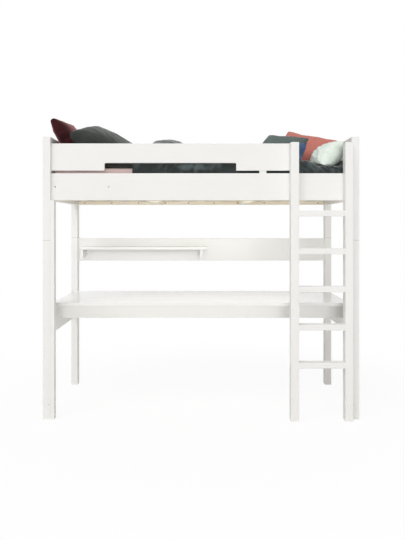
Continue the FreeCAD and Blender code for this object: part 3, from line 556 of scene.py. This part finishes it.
def rounded_block(low, high, radius, stations, ring):
    """A block with round edges, as stations along X times a ring of points. The ring is a superellipse, a
    cosine and a sine each raised to a small power, with its points evened out. At each end it is drawn in
    along a quarter circle."""
    turn = np.linspace(0, np.pi / 2, EDGE_STEPS)
    near = low[0] + radius * (1 - np.cos(turn))
    inset = radius * (1 - np.sin(turn))
    between = np.linspace(near[-1], high[0] - radius, stations)[1:-1]
    along = np.concatenate([near, between, (high[0] + low[0] - near)[::-1]])
    drawn = np.concatenate([inset, np.zeros(stations - 2), inset[::-1]])
    half = (np.array(high[1:]) - np.array(low[1:])) / 2
    middle = (np.array(high[1:]) + np.array(low[1:])) / 2
    angle = np.linspace(0, 2 * np.pi, OUTLINE_STEPS)
    circle = np.stack([np.cos(angle), np.sin(angle)], -1)
    outline = np.sign(circle) * np.abs(circle) ** EDGE_POWER * half
    step = np.concatenate([[0], np.cumsum(np.linalg.norm(np.diff(outline, axis=0), axis=1))])
    even = np.linspace(0, step[-1], ring + 1)[:-1]
    outline = np.stack([np.interp(even, step, outline[:, axis]) for axis in range(2)], -1)
    scale = (half[None] - drawn[:, None]) / half[None]
    section = middle + outline[None] * scale[:, None]
    points = np.concatenate([np.broadcast_to(along[:, None, None], section.shape[:2] + (1,)), section], -1)
    flat = np.stack(np.broadcast_arrays(along[:, None], even[None]), -1)
    return points, flat


def capped_loft(points):
    """Outward quads of a loft whose sections are closed rings, each end closed by strips across its ring."""
    stations, ring = points.shape[:2]
    body = grid_quads(stations, ring, wrap=True)
    side = np.arange(ring // 2 - 1)
    cap = np.stack([side, side + 1, ring - 2 - side, ring - 1 - side], -1)
    quads = np.concatenate([body, cap[:, ::-1], (stations - 1) * ring + cap])
    return outward(points.reshape(-1, 3), quads)


# %% Mattress
SHEET_GAP = 0.0015
MATTRESS_EDGE = 0.034
MATTRESS_GRID = (60, 240)
bed_low, bed_high = (np.array(corner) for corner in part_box("mattress"))

points, flat = rounded_block(bed_low + SHEET_GAP, bed_high - SHEET_GAP, MATTRESS_EDGE, *MATTRESS_GRID)
mattress = mesh_piece("mattress_block", points, capped_loft(points), flat, cloths["mattress_ticking"])
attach(mattress, "bedding")
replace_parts(mattress, "mattress")
show_size("mattress", points)

# %% Fitted sheet
SHEET_GRID = (220, 300)
TUCK = 0.08
UNDERSIDE = 0.002
CREASE_RISE = 0.0022
CREASE_WAVES = 22
CREASE_TWIST = 9
CREASE_REACH = 0.12


def corner_creases(points):
    """Shallow folds that fan out from the mattress's corners: a wave in the angle round the nearest corner,
    twisted by the distance from it and dying away with it."""
    near = np.stack([np.where(points[..., axis] > 0, bed_high[axis], bed_low[axis]) for axis in range(2)], -1)
    away = points[..., :2] - near
    distance = np.linalg.norm(away, axis=-1)
    angle = np.arctan2(away[..., 1], away[..., 0])
    wave = np.sin(CREASE_WAVES * angle + CREASE_TWIST * distance)
    return CREASE_RISE * wave * np.exp(-distance / CREASE_REACH)


points, flat = rounded_block(bed_low, bed_high, MATTRESS_EDGE, *SHEET_GRID)
points[..., 2] += corner_creases(points) * (points[..., 2] > bed_high[2] - MATTRESS_EDGE)
quads = capped_loft(points)
middle = points.reshape(-1, 3)[quads].mean(1)
from_middle = np.abs(middle[:, :2] - (bed_low + bed_high)[:2] / 2)
inside_hem = np.all(from_middle < ((bed_high - bed_low) / 2)[:2] - TUCK, axis=1)
quads = quads[~(inside_hem & (middle[:, 2] < bed_low[2] + UNDERSIDE))]
fitted = mesh_piece("fitted_sheet", points, quads, flat, cloths["pink_sheet"])
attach(fitted, "bedding")

# %% [markdown]
# ## The duvet
# The duvet is one thick quilt: it lies on the mattress, rises into a bunched roll near the middle, and hangs
# over the front edge. Cloth simulation could drop it there, but rails and pillows hold a real quilt in a way
# that takes long to settle, so it is a formula. Its section across the bed is a closed ring: along the top,
# round the front, down the hanging part, round the hem and back along the underside. The ring is smoothed to
# round its corners, carried along X, and pushed out by folds.

# %% Duvet sizes
LAY_GAP = 0.0004
HANG_GAP = 0.0008
HEM_DROP = 0.020
THICK_LEFT = 0.036
THICK_RIGHT = 0.024
THIN_FROM = 0.299
THIN_OVER = 0.20
FLAT_FROM = 0.69
FLAT_OVER = 0.12
FLATTER = 0.017
END_FADE = 0.04
END_ROUND = 0.02
duvet_low, duvet_high = (np.array(corner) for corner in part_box("duvet"))
level_top = bed_high[2] + LAY_GAP
hang_inner = bed_low[1] - HANG_GAP


def ease(value, low, high):
    """0 below low, 1 above high, and an even S between them."""
    share = np.clip((value - low) / (high - low), 0, 1)
    return share * share * (3 - 2 * share)


def quilt_thickness(x):
    """The quilt is thicker towards the roll, thins out to the right and is pressed flat at its right end."""
    thinner = (THICK_RIGHT - THICK_LEFT) * ease(x, THIN_FROM - THIN_OVER, THIN_FROM + THIN_OVER)
    return THICK_LEFT + thinner - FLATTER * ease(x, FLAT_FROM, FLAT_FROM + FLAT_OVER)


print("quilt of", np.round(duvet_high - duvet_low, 3), "m, top of the mattress at", round(level_top, 4))

# %% Duvet roll, end and mound
ROLL_MIDDLE = -0.238
ROLL_HALF = 0.162
ROLL_SPARE = 0.016
ROLL_STEEP = 6
ROLL_ROUND = 0.14
END_RISE = 0.060
END_FROM_RIGHT = (0.05, 0.01)
END_DEPTH = dict(start=0.05, up=0.10, stop=0.54, down=0.16)
MOUND_RISE = 0.018
MOUND_LENGTH = dict(start=0.42, up=0.12, stop=0.79, down=0.13)
MOUND_DEPTH = (0.04, 0.20)
roll_rise = duvet_high[2] - level_top - THICK_LEFT - ROLL_SPARE


def window(value, start, up, stop, down):
    """1 between start and stop, with an S up after start and one down before stop."""
    return ease(value, start, start + up) * (1 - ease(value, stop - down, stop))


def duvet_rise(x, y):
    """What the top gains: the bunched roll, flat along X up to its steep ends and a parabola from front to
    back; the end that is turned up behind the mint pillow; and a mound at the front under the blue one."""
    across = (y - (duvet_low[1] + duvet_high[1]) / 2) / ((duvet_high[1] - duvet_low[1]) / 2)
    share = np.clip(np.abs(x - ROLL_MIDDLE) / ROLL_HALF, 0, 1)
    roll = roll_rise * (1 - share ** ROLL_STEEP) * (1 - ROLL_ROUND * share ** 2) * (1 - across ** 2)
    depth = y - duvet_low[1]
    foot, crest = (duvet_high[0] - reach for reach in END_FROM_RIGHT)
    end = END_RISE * ease(x, foot, crest) * window(depth, **END_DEPTH)
    mound = MOUND_RISE * window(x, **MOUND_LENGTH) * (1 - ease(depth, *MOUND_DEPTH))
    return roll + end + mound


print("roll rises", round(roll_rise, 3), "m over the quilt's top")

# %% [markdown]
# ## Folds in the quilt
# Real folds run in families: broad ones over the bed, slanting ones where the cloth bends over an edge, short
# ones where it is bunched. Each family is a number of soft ridges strewn over an area of the cloth by a fixed
# draw, so the same folds come out each time. Areas are corners in x and in s, the distance on the cloth from
# its front edge, below zero on top.

# %% Duvet folds
FOLD_LIMIT = 0.022
FOLDS = {
    "top": dict(area=((duvet_low[0], -0.85), (duvet_high[0], -0.02)), heading=(0, np.pi),
                seed=7, count=60, rise=0.012, reach=0.24, breadth=0.042),
    "edge": dict(area=((duvet_low[0], -0.10), (duvet_high[0], 0.05)), heading=(2.0, 2.7),
                 seed=11, count=44, rise=0.015, reach=0.10, breadth=0.017),
    "rail_notch": dict(area=((-0.26, -0.01), (0.08, 0.045)), heading=(1.9, 2.5),
                       seed=3, count=12, rise=0.016, reach=0.060, breadth=0.010),
    "ladder_entry": dict(area=((0.62, -0.02), (0.98, 0.05)), heading=(0.2, 0.9),
                         seed=17, count=18, rise=0.018, reach=0.060, breadth=0.009),
    "roll": dict(area=((ROLL_MIDDLE - 0.16, -0.80), (ROLL_MIDDLE + 0.16, -0.08)), heading=(1.2, 1.9),
                 seed=5, count=12, rise=0.007, reach=0.20, breadth=0.034),
}
BULGE = dict(start=-0.195, up=0.06, stop=0.08, down=0.10)
BULGE_RISE = 0.024
BULGE_LEVEL = 0.024
BULGE_BREADTH = 0.011
LIP_WAVES = ((0.004, 47), (0.003, 111))
CALMER = 0.7
CALM_OVER = 0.10
CALM_EDGE = 0.02
RIDGE_SHARE = (0.45, 1.0)
RIDGE_BEND = 1.5


def creases(x, s, seed, count, area, rise, reach, breadth, heading):
    """Soft ridges strewn over an area of the cloth: each is a narrow bell across its line and a long bell
    along it, with its line a little bent."""
    draw = np.random.RandomState(seed)
    total = np.zeros(np.broadcast(x, s).shape)
    for _ in range(count):
        middle = draw.uniform(*area)
        angle = draw.uniform(*heading)
        high, long, wide = draw.uniform(*RIDGE_SHARE, 3) * (rise, reach, breadth)
        along = (x - middle[0]) * np.cos(angle) + (s - middle[1]) * np.sin(angle)
        beside = (s - middle[1]) * np.cos(angle) - (x - middle[0]) * np.sin(angle)
        bend = beside + draw.uniform(-RIDGE_BEND, RIDGE_BEND) * along ** 2
        total += high * np.exp(-(along / long) ** 2 - (bend / wide) ** 2)
    return total


def duvet_folds(x, s):
    """All families of folds, and a bulge that runs along the front, below the edge, where the quilt is pushed
    up in the middle of the bed. The flat right end is calmer on top, and a tanh keeps sums of folds low."""
    lip = sum((rise * np.sin(waves * x) for rise, waves in LIP_WAVES), BULGE_LEVEL)
    bulge = BULGE_RISE * window(x, **BULGE) * np.exp(-((s - lip) / BULGE_BREADTH) ** 2)
    total = sum(creases(x, s, **family) for family in FOLDS.values()) + bulge
    calm = 1 - CALMER * ease(x, FLAT_FROM, FLAT_FROM + CALM_OVER) * ease(-s, -CALM_EDGE, CALM_EDGE)
    return FOLD_LIMIT * np.tanh(total * calm / FOLD_LIMIT)


def bed_level(x, y):
    """Height of what a pillow lies on: the quilt's top with roll and folds, or the sheet beyond its ends."""
    ends = np.minimum(x - duvet_low[0], duvet_high[0] - x)
    folds = duvet_folds(x, duvet_low[1] - y) * ease(ends, 0, END_FADE)
    return level_top + (quilt_thickness(x) + duvet_rise(x, y) + folds) * ease(ends, 0, END_ROUND)


print(sum(family["count"] for family in FOLDS.values()), "folds in", len(FOLDS), "families")

# %% Duvet shape
DUVET_STATIONS = 330
DUVET_RING = 280
ROUNDING_PASSES = 7
FOLDS_FROM_BACK = 0.05
FOLDS_FADE = (0.03, 0.075)
END_THIN = 0.15


def duvet_points():
    """Stations along X times a ring. A running mean along the ring rounds its corners, and the folds push the
    points out along the ring's normal. Each end is drawn together along a quarter circle. Returns points,
    places on the cloth and how high each fold is."""
    x = np.linspace(duvet_low[0], duvet_high[0], DUVET_STATIONS)[:, None]
    drop = duvet_low[2] - HEM_DROP - level_top
    corners = np.array([  # depth, level against the mattress's top, share of the quilt's thickness
        (duvet_high[1], 0, 0), (duvet_high[1], 0, 1), (duvet_low[1], 0, 1), (duvet_low[1], drop, 0),
        (hang_inner, drop, 0), (hang_inner, 0, 0), (duvet_high[1], 0, 0)])
    lengths = np.linalg.norm(np.diff(corners * (1, 1, THICK_LEFT), axis=0), axis=1)
    place = np.concatenate([[0], np.cumsum(lengths)])
    even = np.linspace(0, place[-1], DUVET_RING + 1)[:-1]
    y, level, share = (np.interp(even, place, corners[:, column])[None] for column in range(3))
    thick = quilt_thickness(x)
    z = level_top + level + share * (thick + duvet_rise(x, y) * (level == 0))
    points = np.stack(np.broadcast_arrays(x, y, z), -1)
    for _ in range(ROUNDING_PASSES):
        mean = (np.roll(points, 1, axis=1) + 2 * points + np.roll(points, -1, axis=1)) / 4
        points[..., 1:] = mean[..., 1:]
    along = np.roll(points, -1, axis=1) - np.roll(points, 1, axis=1)
    normal = np.stack([0 * along[..., 0], along[..., 2], -along[..., 1]], -1)
    normal /= np.linalg.norm(normal, axis=-1, keepdims=True)
    from_edge = even[None] - place[2]
    back = place[1] - place[2]
    outer = ease(from_edge, back, back + FOLDS_FROM_BACK) * (1 - ease(from_edge, *FOLDS_FADE))
    ends = np.minimum(x - duvet_low[0], duvet_high[0] - x)
    folds = duvet_folds(x, from_edge) * outer * ease(ends, 0, END_FADE)
    points += normal * folds[..., None]
    rounded = np.sqrt(np.clip(1 - (1 - np.clip(ends / END_ROUND, 0, 1)) ** 2, 0, 1))
    core = np.where(level == 0, level_top + thick / 2, points[..., 2])
    points[..., 2] = core + (points[..., 2] - core) * (END_THIN + (1 - END_THIN) * rounded)
    return points, np.stack(np.broadcast_arrays(x, even[None]), -1), folds / FOLD_LIMIT


# %% Duvet
points, flat, crest = duvet_points()
duvet = mesh_piece("duvet_quilt", points, capped_loft(points), flat, cloths["duvet_cotton"])
# how high each fold is, which the duvet's finish turns into a painted highlight on the crests
crests = duvet.data.attributes.new("crest", "FLOAT", "POINT")
crests.data.foreach_set("value", crest.ravel().astype(np.float32))
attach(duvet, "bedding")
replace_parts(duvet, "duvet")
show_size("duvet", points)

# %% [markdown]
# ## The pillows
# A pillow is two cloths sewn together round the rim and filled until they swell. Blowing up two flat cloths
# gives that by itself, but its size and wrinkles can't be chosen, so each pillow starts from a formula: sides
# drawn in between the corners, a crown, ribs at the seam and wrinkles. A simulation then fills it, and it is
# laid on the bed and dented by its neighbours.

# %% Pillow sizes and places
# size: length, height and thickness. end: from the inner face of the right post, or below zero of the left
# one, to the middle. front: from the bed's front to the middle. turn, tilt, lean: degrees. sink: how much of
# its height it loses to its weight. blunt: how far its corners are drawn in. sag: how far its underside
# hangs to the bed. drop: how far it lies below its solid.
post_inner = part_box("post_front_right")[0].x
bed_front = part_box("post_front_left")[0].y
PILLOWS = {
    "slate": dict(size=(0.500, 0.437, 0.180), end=-0.346, front=0.328, turn=-3, tilt=28.5, lean=13,
                  sink=0.001, ribs=6, wrinkles=26, sag=0.8),
    "burgundy": dict(size=(0.372, 0.412, 0.130), end=-0.106, front=0.301, turn=80, tilt=2, lean=56,
                     sink=0.001, ribs=4, wrinkles=10, blunt=0.06),
    "coral": dict(size=(0.459, 0.340, 0.140), end=0.253, front=0.500, turn=-44, tilt=14.6, lean=60,
                  sink=0.085, ribs=6, wrinkles=8, drop=0.006),
    "forest": dict(size=(0.372, 0.330, 0.100), end=0.456, front=0.325, turn=-45, tilt=9, lean=45,
                   sink=0.034, ribs=6, wrinkles=10),
    "blue": dict(size=(0.280, 0.240, 0.090), end=0.415, front=0.185, turn=-28, tilt=0, lean=60,
                 sink=0.055, ribs=5, wrinkles=6),
    "mint": dict(size=(0.270, 0.252, 0.165), end=0.128, front=0.235, turn=-78, tilt=-6, lean=51.5,
                 sink=0.052, ribs=8, wrinkles=24, drop=0.020),
}
print(len(PILLOWS), "pillows, end posts", round(2 * post_inner, 3), "m apart")

# %% Sewn cloth
PILLOW_CELLS = 56


def sewn_grid(cells):
    """Two square layers from -1 to 1 that share their rim. Returns the flat places, the side of each point
    (1 front, -1 back, 0 rim) and the quads."""
    line = np.linspace(-1, 1, cells + 1)
    u, v = (values.ravel() for values in np.meshgrid(line, line))
    rim = (np.abs(u) == 1) | (np.abs(v) == 1)
    number = np.arange(len(u))
    back = np.where(rim, number, len(u) + np.cumsum(~rim) - 1)
    front_quads = grid_quads(cells + 1, cells + 1)
    places = np.concatenate([np.stack([u, v], -1), np.stack([u, v], -1)[~rim]])
    side = np.concatenate([np.where(rim, 0, 1), -np.ones((~rim).sum())])
    return places, side, np.concatenate([front_quads, back[front_quads][:, ::-1]])


places, side, quads = sewn_grid(PILLOW_CELLS)
print(len(places), "points and", len(quads), "quads in a pillow's cloth")

# %% Pillow shape
SIDE_DRAW = 0.07
SEAM_WAVE = 0.004
CROWN_POWER = 0.38
BLUNT_POWER = 12
RIM_POWER = 6
RIB_SHARE = 0.06
RIB_START = 0.05
RIB_FADE = 0.20
RIB_SHIFT = 2.2
RIB_DRIFT = 4.1
LAYER_SHIFT = (0.3, 0.7)
WRINKLE = dict(rise=0.007, reach=0.085, breadth=0.013, heading=(0, np.pi))


def dome(u, v, power):
    """1 in the middle of the cloth and 0 at its rim, the product of two parabolas raised to a power."""
    return np.clip((1 - u ** 2) * (1 - v ** 2), 0, 1) ** power


def puckers(along, inward, ribs):
    """Ribs that run inwards from a seam: a wave along it with an uneven step, dying away over the cloth."""
    wave = np.sin(np.pi * ribs * along + RIB_SHIFT * np.sin(RIB_DRIFT * along + ribs))
    return wave * (1 - np.exp(-inward / RIB_START)) * np.exp(-inward / RIB_FADE)


def plain_pillow(places, side, size, ribs, wrinkles, blunt):
    """A pillow by formula: sides drawn in by a parabola, a wavy seam, a dome that falls steeply at the seam,
    ribs where the cloth is gathered into it, and wrinkles that differ between the layers. Blunt corners are
    drawn in by a high power of both places."""
    u, v = (places * (1 - blunt * (places[:, :1] * places[:, 1:]) ** BLUNT_POWER)).T
    wavy_x = SEAM_WAVE * (np.sin(ribs * v + ribs) * np.abs(u) ** RIM_POWER)
    wavy_y = SEAM_WAVE * (np.sin(ribs * u) * np.abs(v) ** RIM_POWER)
    x = size[0] / 2 * u * (1 - SIDE_DRAW * (1 - v ** 2)) + wavy_x * (1 - v ** 2)
    y = size[1] / 2 * v * (1 - SIDE_DRAW * (1 - u ** 2)) + wavy_y * (1 - u ** 2)
    shift_v, shift_u = (shift * side for shift in LAYER_SHIFT)
    gathers = puckers(v + shift_v, 1 - np.abs(u), ribs) + puckers(u + shift_u, 1 - np.abs(v), ribs + 1)
    area = (-size[0] / 2, -size[1] / 2), (size[0] / 2, size[1] / 2)
    strewn = [creases(x, y, ribs + layer, wrinkles, area, **WRINKLE) for layer in range(2)]
    swell = size[2] / 2 * (1 + RIB_SHARE * gathers) + np.where(side > 0, *strewn)
    return np.stack([x, y, side * dome(u, v, CROWN_POWER) * swell], -1)


# %% [markdown]
# ## Filling a pillow
# A cloth modifier with pressure does what the filling does: it pushes both layers out until the cloth is
# tight. The run is short, because only the first swelling is wanted, and its moves are capped and evened out,
# so that no single point stands out of the cloth.

# %% Pillow filling
SWELL_FRAMES = 12
SWELL_CAP = 0.008
SWELL_PASSES = 5


def points_of(mesh):
    """The points of a mesh as an array."""
    points = np.zeros(3 * len(mesh.vertices))
    mesh.vertices.foreach_get("co", points)
    return points.reshape(-1, 3)


def points_shown(piece):
    """The piece's points with its modifiers applied."""
    shown = piece.evaluated_get(bpy.context.evaluated_depsgraph_get())
    return points_of(shown.data)


def evened(values, quads, passes):
    """Vectors on the points of a mesh, evened out: each pass gives a face its corners' mean and a point the
    mean of its faces."""
    faces_at = np.bincount(quads.ravel(), minlength=len(values))[:, None]
    for _ in range(passes):
        faces = np.repeat(values[quads].mean(1), 4, axis=0)
        values = np.stack([np.bincount(quads.ravel(), faces[:, axis]) for axis in range(3)], -1) / faces_at
    return values


def blown_up(name, start, quads):
    """The plain shape swollen by a cloth simulation. Each move is divided by the root of one plus the square
    of its length over the cap, so that none passes the cap, and the moves are evened out over the cloth."""
    sack = mesh_piece(f"{name}_sack", start, quads)
    cloth = sack.modifiers.new("cloth", "CLOTH")
    cloth.settings.quality = 6
    cloth.settings.mass = 0.25
    cloth.settings.tension_stiffness = 20
    cloth.settings.compression_stiffness = 20
    cloth.settings.shear_stiffness = 8
    cloth.settings.bending_stiffness = 0.5
    cloth.settings.use_pressure = True
    cloth.settings.uniform_pressure_force = 4.0
    cloth.settings.effector_weights.gravity = 0
    cloth.collision_settings.use_collision = False
    for step in range(1, SWELL_FRAMES + 1):
        scene.frame_set(step)
    moved = points_shown(sack) - start
    scene.frame_set(1)
    bpy.data.objects.remove(sack)
    far = np.linalg.norm(moved, axis=1, keepdims=True)
    return start + evened(moved / np.sqrt(1 + (far / SWELL_CAP) ** 2), quads, SWELL_PASSES)


# %% [markdown]
# ## Laying a pillow down
# A pillow that only stands on the bed looks weightless. Four steps give it weight: its lower side is squeezed
# flat, a slack underside sags, what would dip into the quilt is lifted onto it, and what would reach into a
# neighbour is pressed back. Heights can be worked out, because the quilt is a formula. A neighbour is a mesh,
# so a Shrinkwrap modifier finds its surface.

# %% Pillow on the bed
SQUEEZE = 1.12
SAG_POWER = 0.5
CONTACT = 0.006


def turned(points, turn, tilt, lean):
    """Points turned by lean about X, then tilt about Y, then turn about Z, in degrees."""
    a, b, c = np.radians((turn, tilt, lean))
    about_x = np.array([(1, 0, 0), (0, np.cos(c), -np.sin(c)), (0, np.sin(c), np.cos(c))])
    about_y = np.array([(np.cos(b), 0, np.sin(b)), (0, 1, 0), (-np.sin(b), 0, np.cos(b))])
    about_z = np.array([(np.cos(a), -np.sin(a), 0), (np.sin(a), np.cos(a), 0), (0, 0, 1)])
    return points @ (about_z @ about_y @ about_x).T


def settled(points, lowest, sink, rest):
    """Points lowered onto rest and squeezed: a height d above the lowest point becomes d less sink, but near
    the bottom the loss fades in, so the underside spreads flat and nothing goes through."""
    height = np.maximum(points[:, 2] - lowest, 0)
    points[:, 2] = rest + height - sink * (1 - np.exp(-height / (SQUEEZE * sink)))
    return points


def sagged(points, places, side, sag, rest):
    """The underside hangs down to the bed: its height above rest loses a share, full in the middle of the
    lower layer and none at the seam."""
    inner = dome(*places.T, SAG_POWER)
    points[:, 2] -= sag * np.where(side < 0, inner, 0) * (points[:, 2] - rest)
    return points


def laid_on_bed(points, gap):
    """Points raised where the bed is higher: the height above it, d, becomes half of d plus the root of d
    squared and a small contact height squared, which is d far above the bed and nearly 0 below it."""
    level = bed_level(points[:, 0], points[:, 1]) + gap
    above = points[:, 2] - level
    points[:, 2] = level + (above + np.sqrt(above ** 2 + CONTACT ** 2)) / 2
    return points


# %% Pillow dents
PRESS_GAP = 0.001
PRESS_ROUNDS = 3
PRESS_PASSES = 2
PRESSED_BY = {
    "burgundy": ["slate"], "forest": ["coral"], "blue": ["coral", "forest"], "mint": ["coral", "blue"]}


def pressed(piece, others, quads):
    """Dents where a piece reaches into others: each inner point is drawn to their surface, as far as that
    leads away from the other piece, and the moves are evened out over the cloth."""
    for other in others:
        wrap = piece.modifiers.new("press", "SHRINKWRAP")
        wrap.target = other
        wrap.wrap_method = "NEAREST_SURFACEPOINT"
        wrap.wrap_mode = "OUTSIDE"
        wrap.offset = PRESS_GAP
        points = points_of(piece.data)
        away = points.mean(0) - points_of(other.data).mean(0)
        away /= np.linalg.norm(away)
        reach = np.maximum((points_shown(piece) - points) @ away, 0)
        piece.modifiers.clear()
        dented = points + evened(reach[:, None] * away, quads, PRESS_PASSES)
        piece.data.vertices.foreach_set("co", dented.astype(np.float32).ravel())
        piece.data.update()


# %% Pillows
def pillow_points(name, plan):
    """The points of one pillow in its place: shaped, filled, turned, settled, and laid on the bed."""
    plain = plain_pillow(places, side, plan["size"], plan["ribs"], plan["wrinkles"], plan.get("blunt", 0))
    filled = blown_up(name, plain, quads)
    lie = plan["turn"], plan["tilt"], plan["lean"]
    lowest = turned(plain, *lie)[:, 2].min()
    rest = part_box(f"pillow_{name}")[0].z - plan.get("drop", 0)
    points = settled(turned(filled, *lie), lowest, plan["sink"], rest)
    points = sagged(points, places, side, plan.get("sag", 0), rest)
    points[:, 0] += np.sign(plan["end"]) * post_inner - plan["end"]
    points[:, 1] += bed_front + plan["front"]
    return laid_on_bed(points, PRESS_GAP)


pillows = {}
for name, plan in PILLOWS.items():
    points = pillow_points(name, plan)
    slot = slot_of[f"pillow_{name}"]
    flat = places * np.array(plan["size"][:2]) / 2
    pillow = mesh_piece(f"cushion_{name}", points, outward(points, quads), flat, cloths[slot])
    for _ in range(PRESS_ROUNDS):
        pressed(pillow, [pillows[other] for other in PRESSED_BY.get(name, [])], quads)
    smooth = pillow.modifiers.new("smooth", "SUBSURF")
    smooth.levels = 1
    smooth.render_levels = 1
    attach(pillow, "bedding")
    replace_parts(pillow, f"pillow_{name}")
    pillows[name] = pillow
    show_size(name, points)

# %% [markdown]
# ## Screws and bolt heads
# Brown screws hold the ledges to the rails, small ones sit by the shelf brackets and in the caps, and domed
# bolt heads with a six-sided socket pull the rails to the posts. Each head is a stack of rings, lofted and
# closed at both ends, and one array of places repeats it, so all heads of a kind are one piece.


# %% Heads
def ring_stack(radii, heights, count, six_sided=()):
    """Rings of points about Z, one for each radius and height. six_sided names the rings that are hexagons,
    whose radius is divided by the cosine of the angle from the middle of a side."""
    angle = np.linspace(0, 2 * np.pi, count, endpoint=False)
    six = 1 / np.cos((angle + np.pi / 6) % (np.pi / 3) - np.pi / 6)
    shape = np.stack([six if ring in six_sided else np.ones(count) for ring in range(len(radii))])
    radius = np.array(radii)[:, None] * shape
    height = np.broadcast_to(np.array(heights)[:, None], radius.shape)
    return np.stack([radius * np.cos(angle), radius * np.sin(angle), height], -1)


def facing(rings, direction):
    """Rings turned so that +Z becomes the direction, which is along X or Y."""
    x, y, z = np.moveaxis(rings, -1, 0)
    along_x, along_y = direction
    return np.stack([z * along_x - y * abs(along_y), z * along_y + y * abs(along_x), x], -1)


def repeated(name, sets, material):
    """One piece with a copy of each set's rings at each of its places."""
    points, quads = [], []
    for rings, spots in sets:
        faces = capped_loft(rings)
        for spot in spots:
            quads.append(faces + sum(len(group) for group in points))
            points.append(rings.reshape(-1, 3) + np.array(spot))
    piece = mesh_piece(name, np.concatenate(points), np.concatenate(quads), material=material)
    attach(piece, "frame")
    print(name, len(points), "heads")
    return piece


def screw_head(radius):
    """A countersunk head: a shallow cone with a driver recess in the middle."""
    return ring_stack(radii=[0.6 * radius, radius, 0.93 * radius, 0.45 * radius, 0.38 * radius],
                      heights=[-0.0015, 0.0002, 0.0006, 0.0008, -0.0004], count=12)


# %% Ledge screws
LEDGE_SCREWS = (0.104, 0.290, 0.505, 0.720, 0.937)
LEDGE_HEAD = 0.0052
FRONT, BACK, RIGHT, LEFT = (0, -1), (0, 1), (1, 0), (-1, 0)

ledge_x = [sign * place for place in LEDGE_SCREWS for sign in (-1, 1)]
ledge_sets = []
for node_name, direction, corner in (("slat_ledge_back", FRONT, 0), ("slat_ledge_front", BACK, 1)):
    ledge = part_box(node_name)
    level = (ledge[0].z + ledge[1].z) / 2
    spots = [(x, ledge[corner].y, level) for x in ledge_x]
    ledge_sets.append((facing(screw_head(LEDGE_HEAD), direction), spots))
repeated("ledge_screws", ledge_sets, screw_brown)

# %% Small screws
SMALL_HEAD = 0.0040
BRACKET_STEP = 0.012
BRACKET_DROP = 0.040
CAP_FROM_FRONT = 0.088
LEG_DOT_IN = 0.038
LEG_DOT_LEVEL = 0.098

small = screw_head(SMALL_HEAD)
board_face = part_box("back_board")[0].y
bracket_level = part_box("shelf")[0].z - BRACKET_DROP
left_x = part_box("shelf_bracket_left")[1].x + BRACKET_STEP
right_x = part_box("shelf_bracket_right")[0].x - BRACKET_STEP
small_sets = [(facing(small, FRONT), [(x, board_face, bracket_level) for x in (left_x, right_x)])]
for side_name, direction, corner in (("left", RIGHT, 1), ("right", LEFT, 0)):
    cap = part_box(f"cap_{side_name}")
    depths = (cap[0].y + CAP_FROM_FRONT, cap[1].y - CAP_FROM_FRONT)
    level = (cap[0].z + cap[1].z) / 2
    small_sets.append((facing(small, direction), [(cap[corner].x, y, level) for y in depths]))
    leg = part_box(f"leg_front_{side_name}")
    dot_x = leg[1 - corner].x + direction[0] * LEG_DOT_IN
    small_sets.append((facing(small, FRONT), [(dot_x, leg[0].y, LEG_DOT_LEVEL)]))
repeated("frame_screws", small_sets, steel)

# %% Bolt heads
BOLT_LEVELS = (0.054, 0.150)

head = ring_stack(radii=[0.0075, 0.0075, 0.0068, 0.0050, 0.0030, 0.0029, 0.0028],
                  heights=[-0.0008, 0.0012, 0.0026, 0.0034, 0.0035, 0.0032, 0.0012], count=24,
                  six_sided=(4, 5, 6))
bolt_sets = []
for side_name, direction, corner in (("left", LEFT, 0), ("right", RIGHT, 1)):
    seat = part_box(f"post_front_{side_name}")[corner].x
    rails = [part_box(f"side_rail_{row}") for row in ("front", "back")]
    spots = [(seat, (low.y + high.y) / 2, low.z + level) for low, high in rails for level in BOLT_LEVELS]
    bolt_sets.append((facing(head, direction), spots))
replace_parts(repeated("rail_bolt_heads", bolt_sets, steel), "rail_bolts")
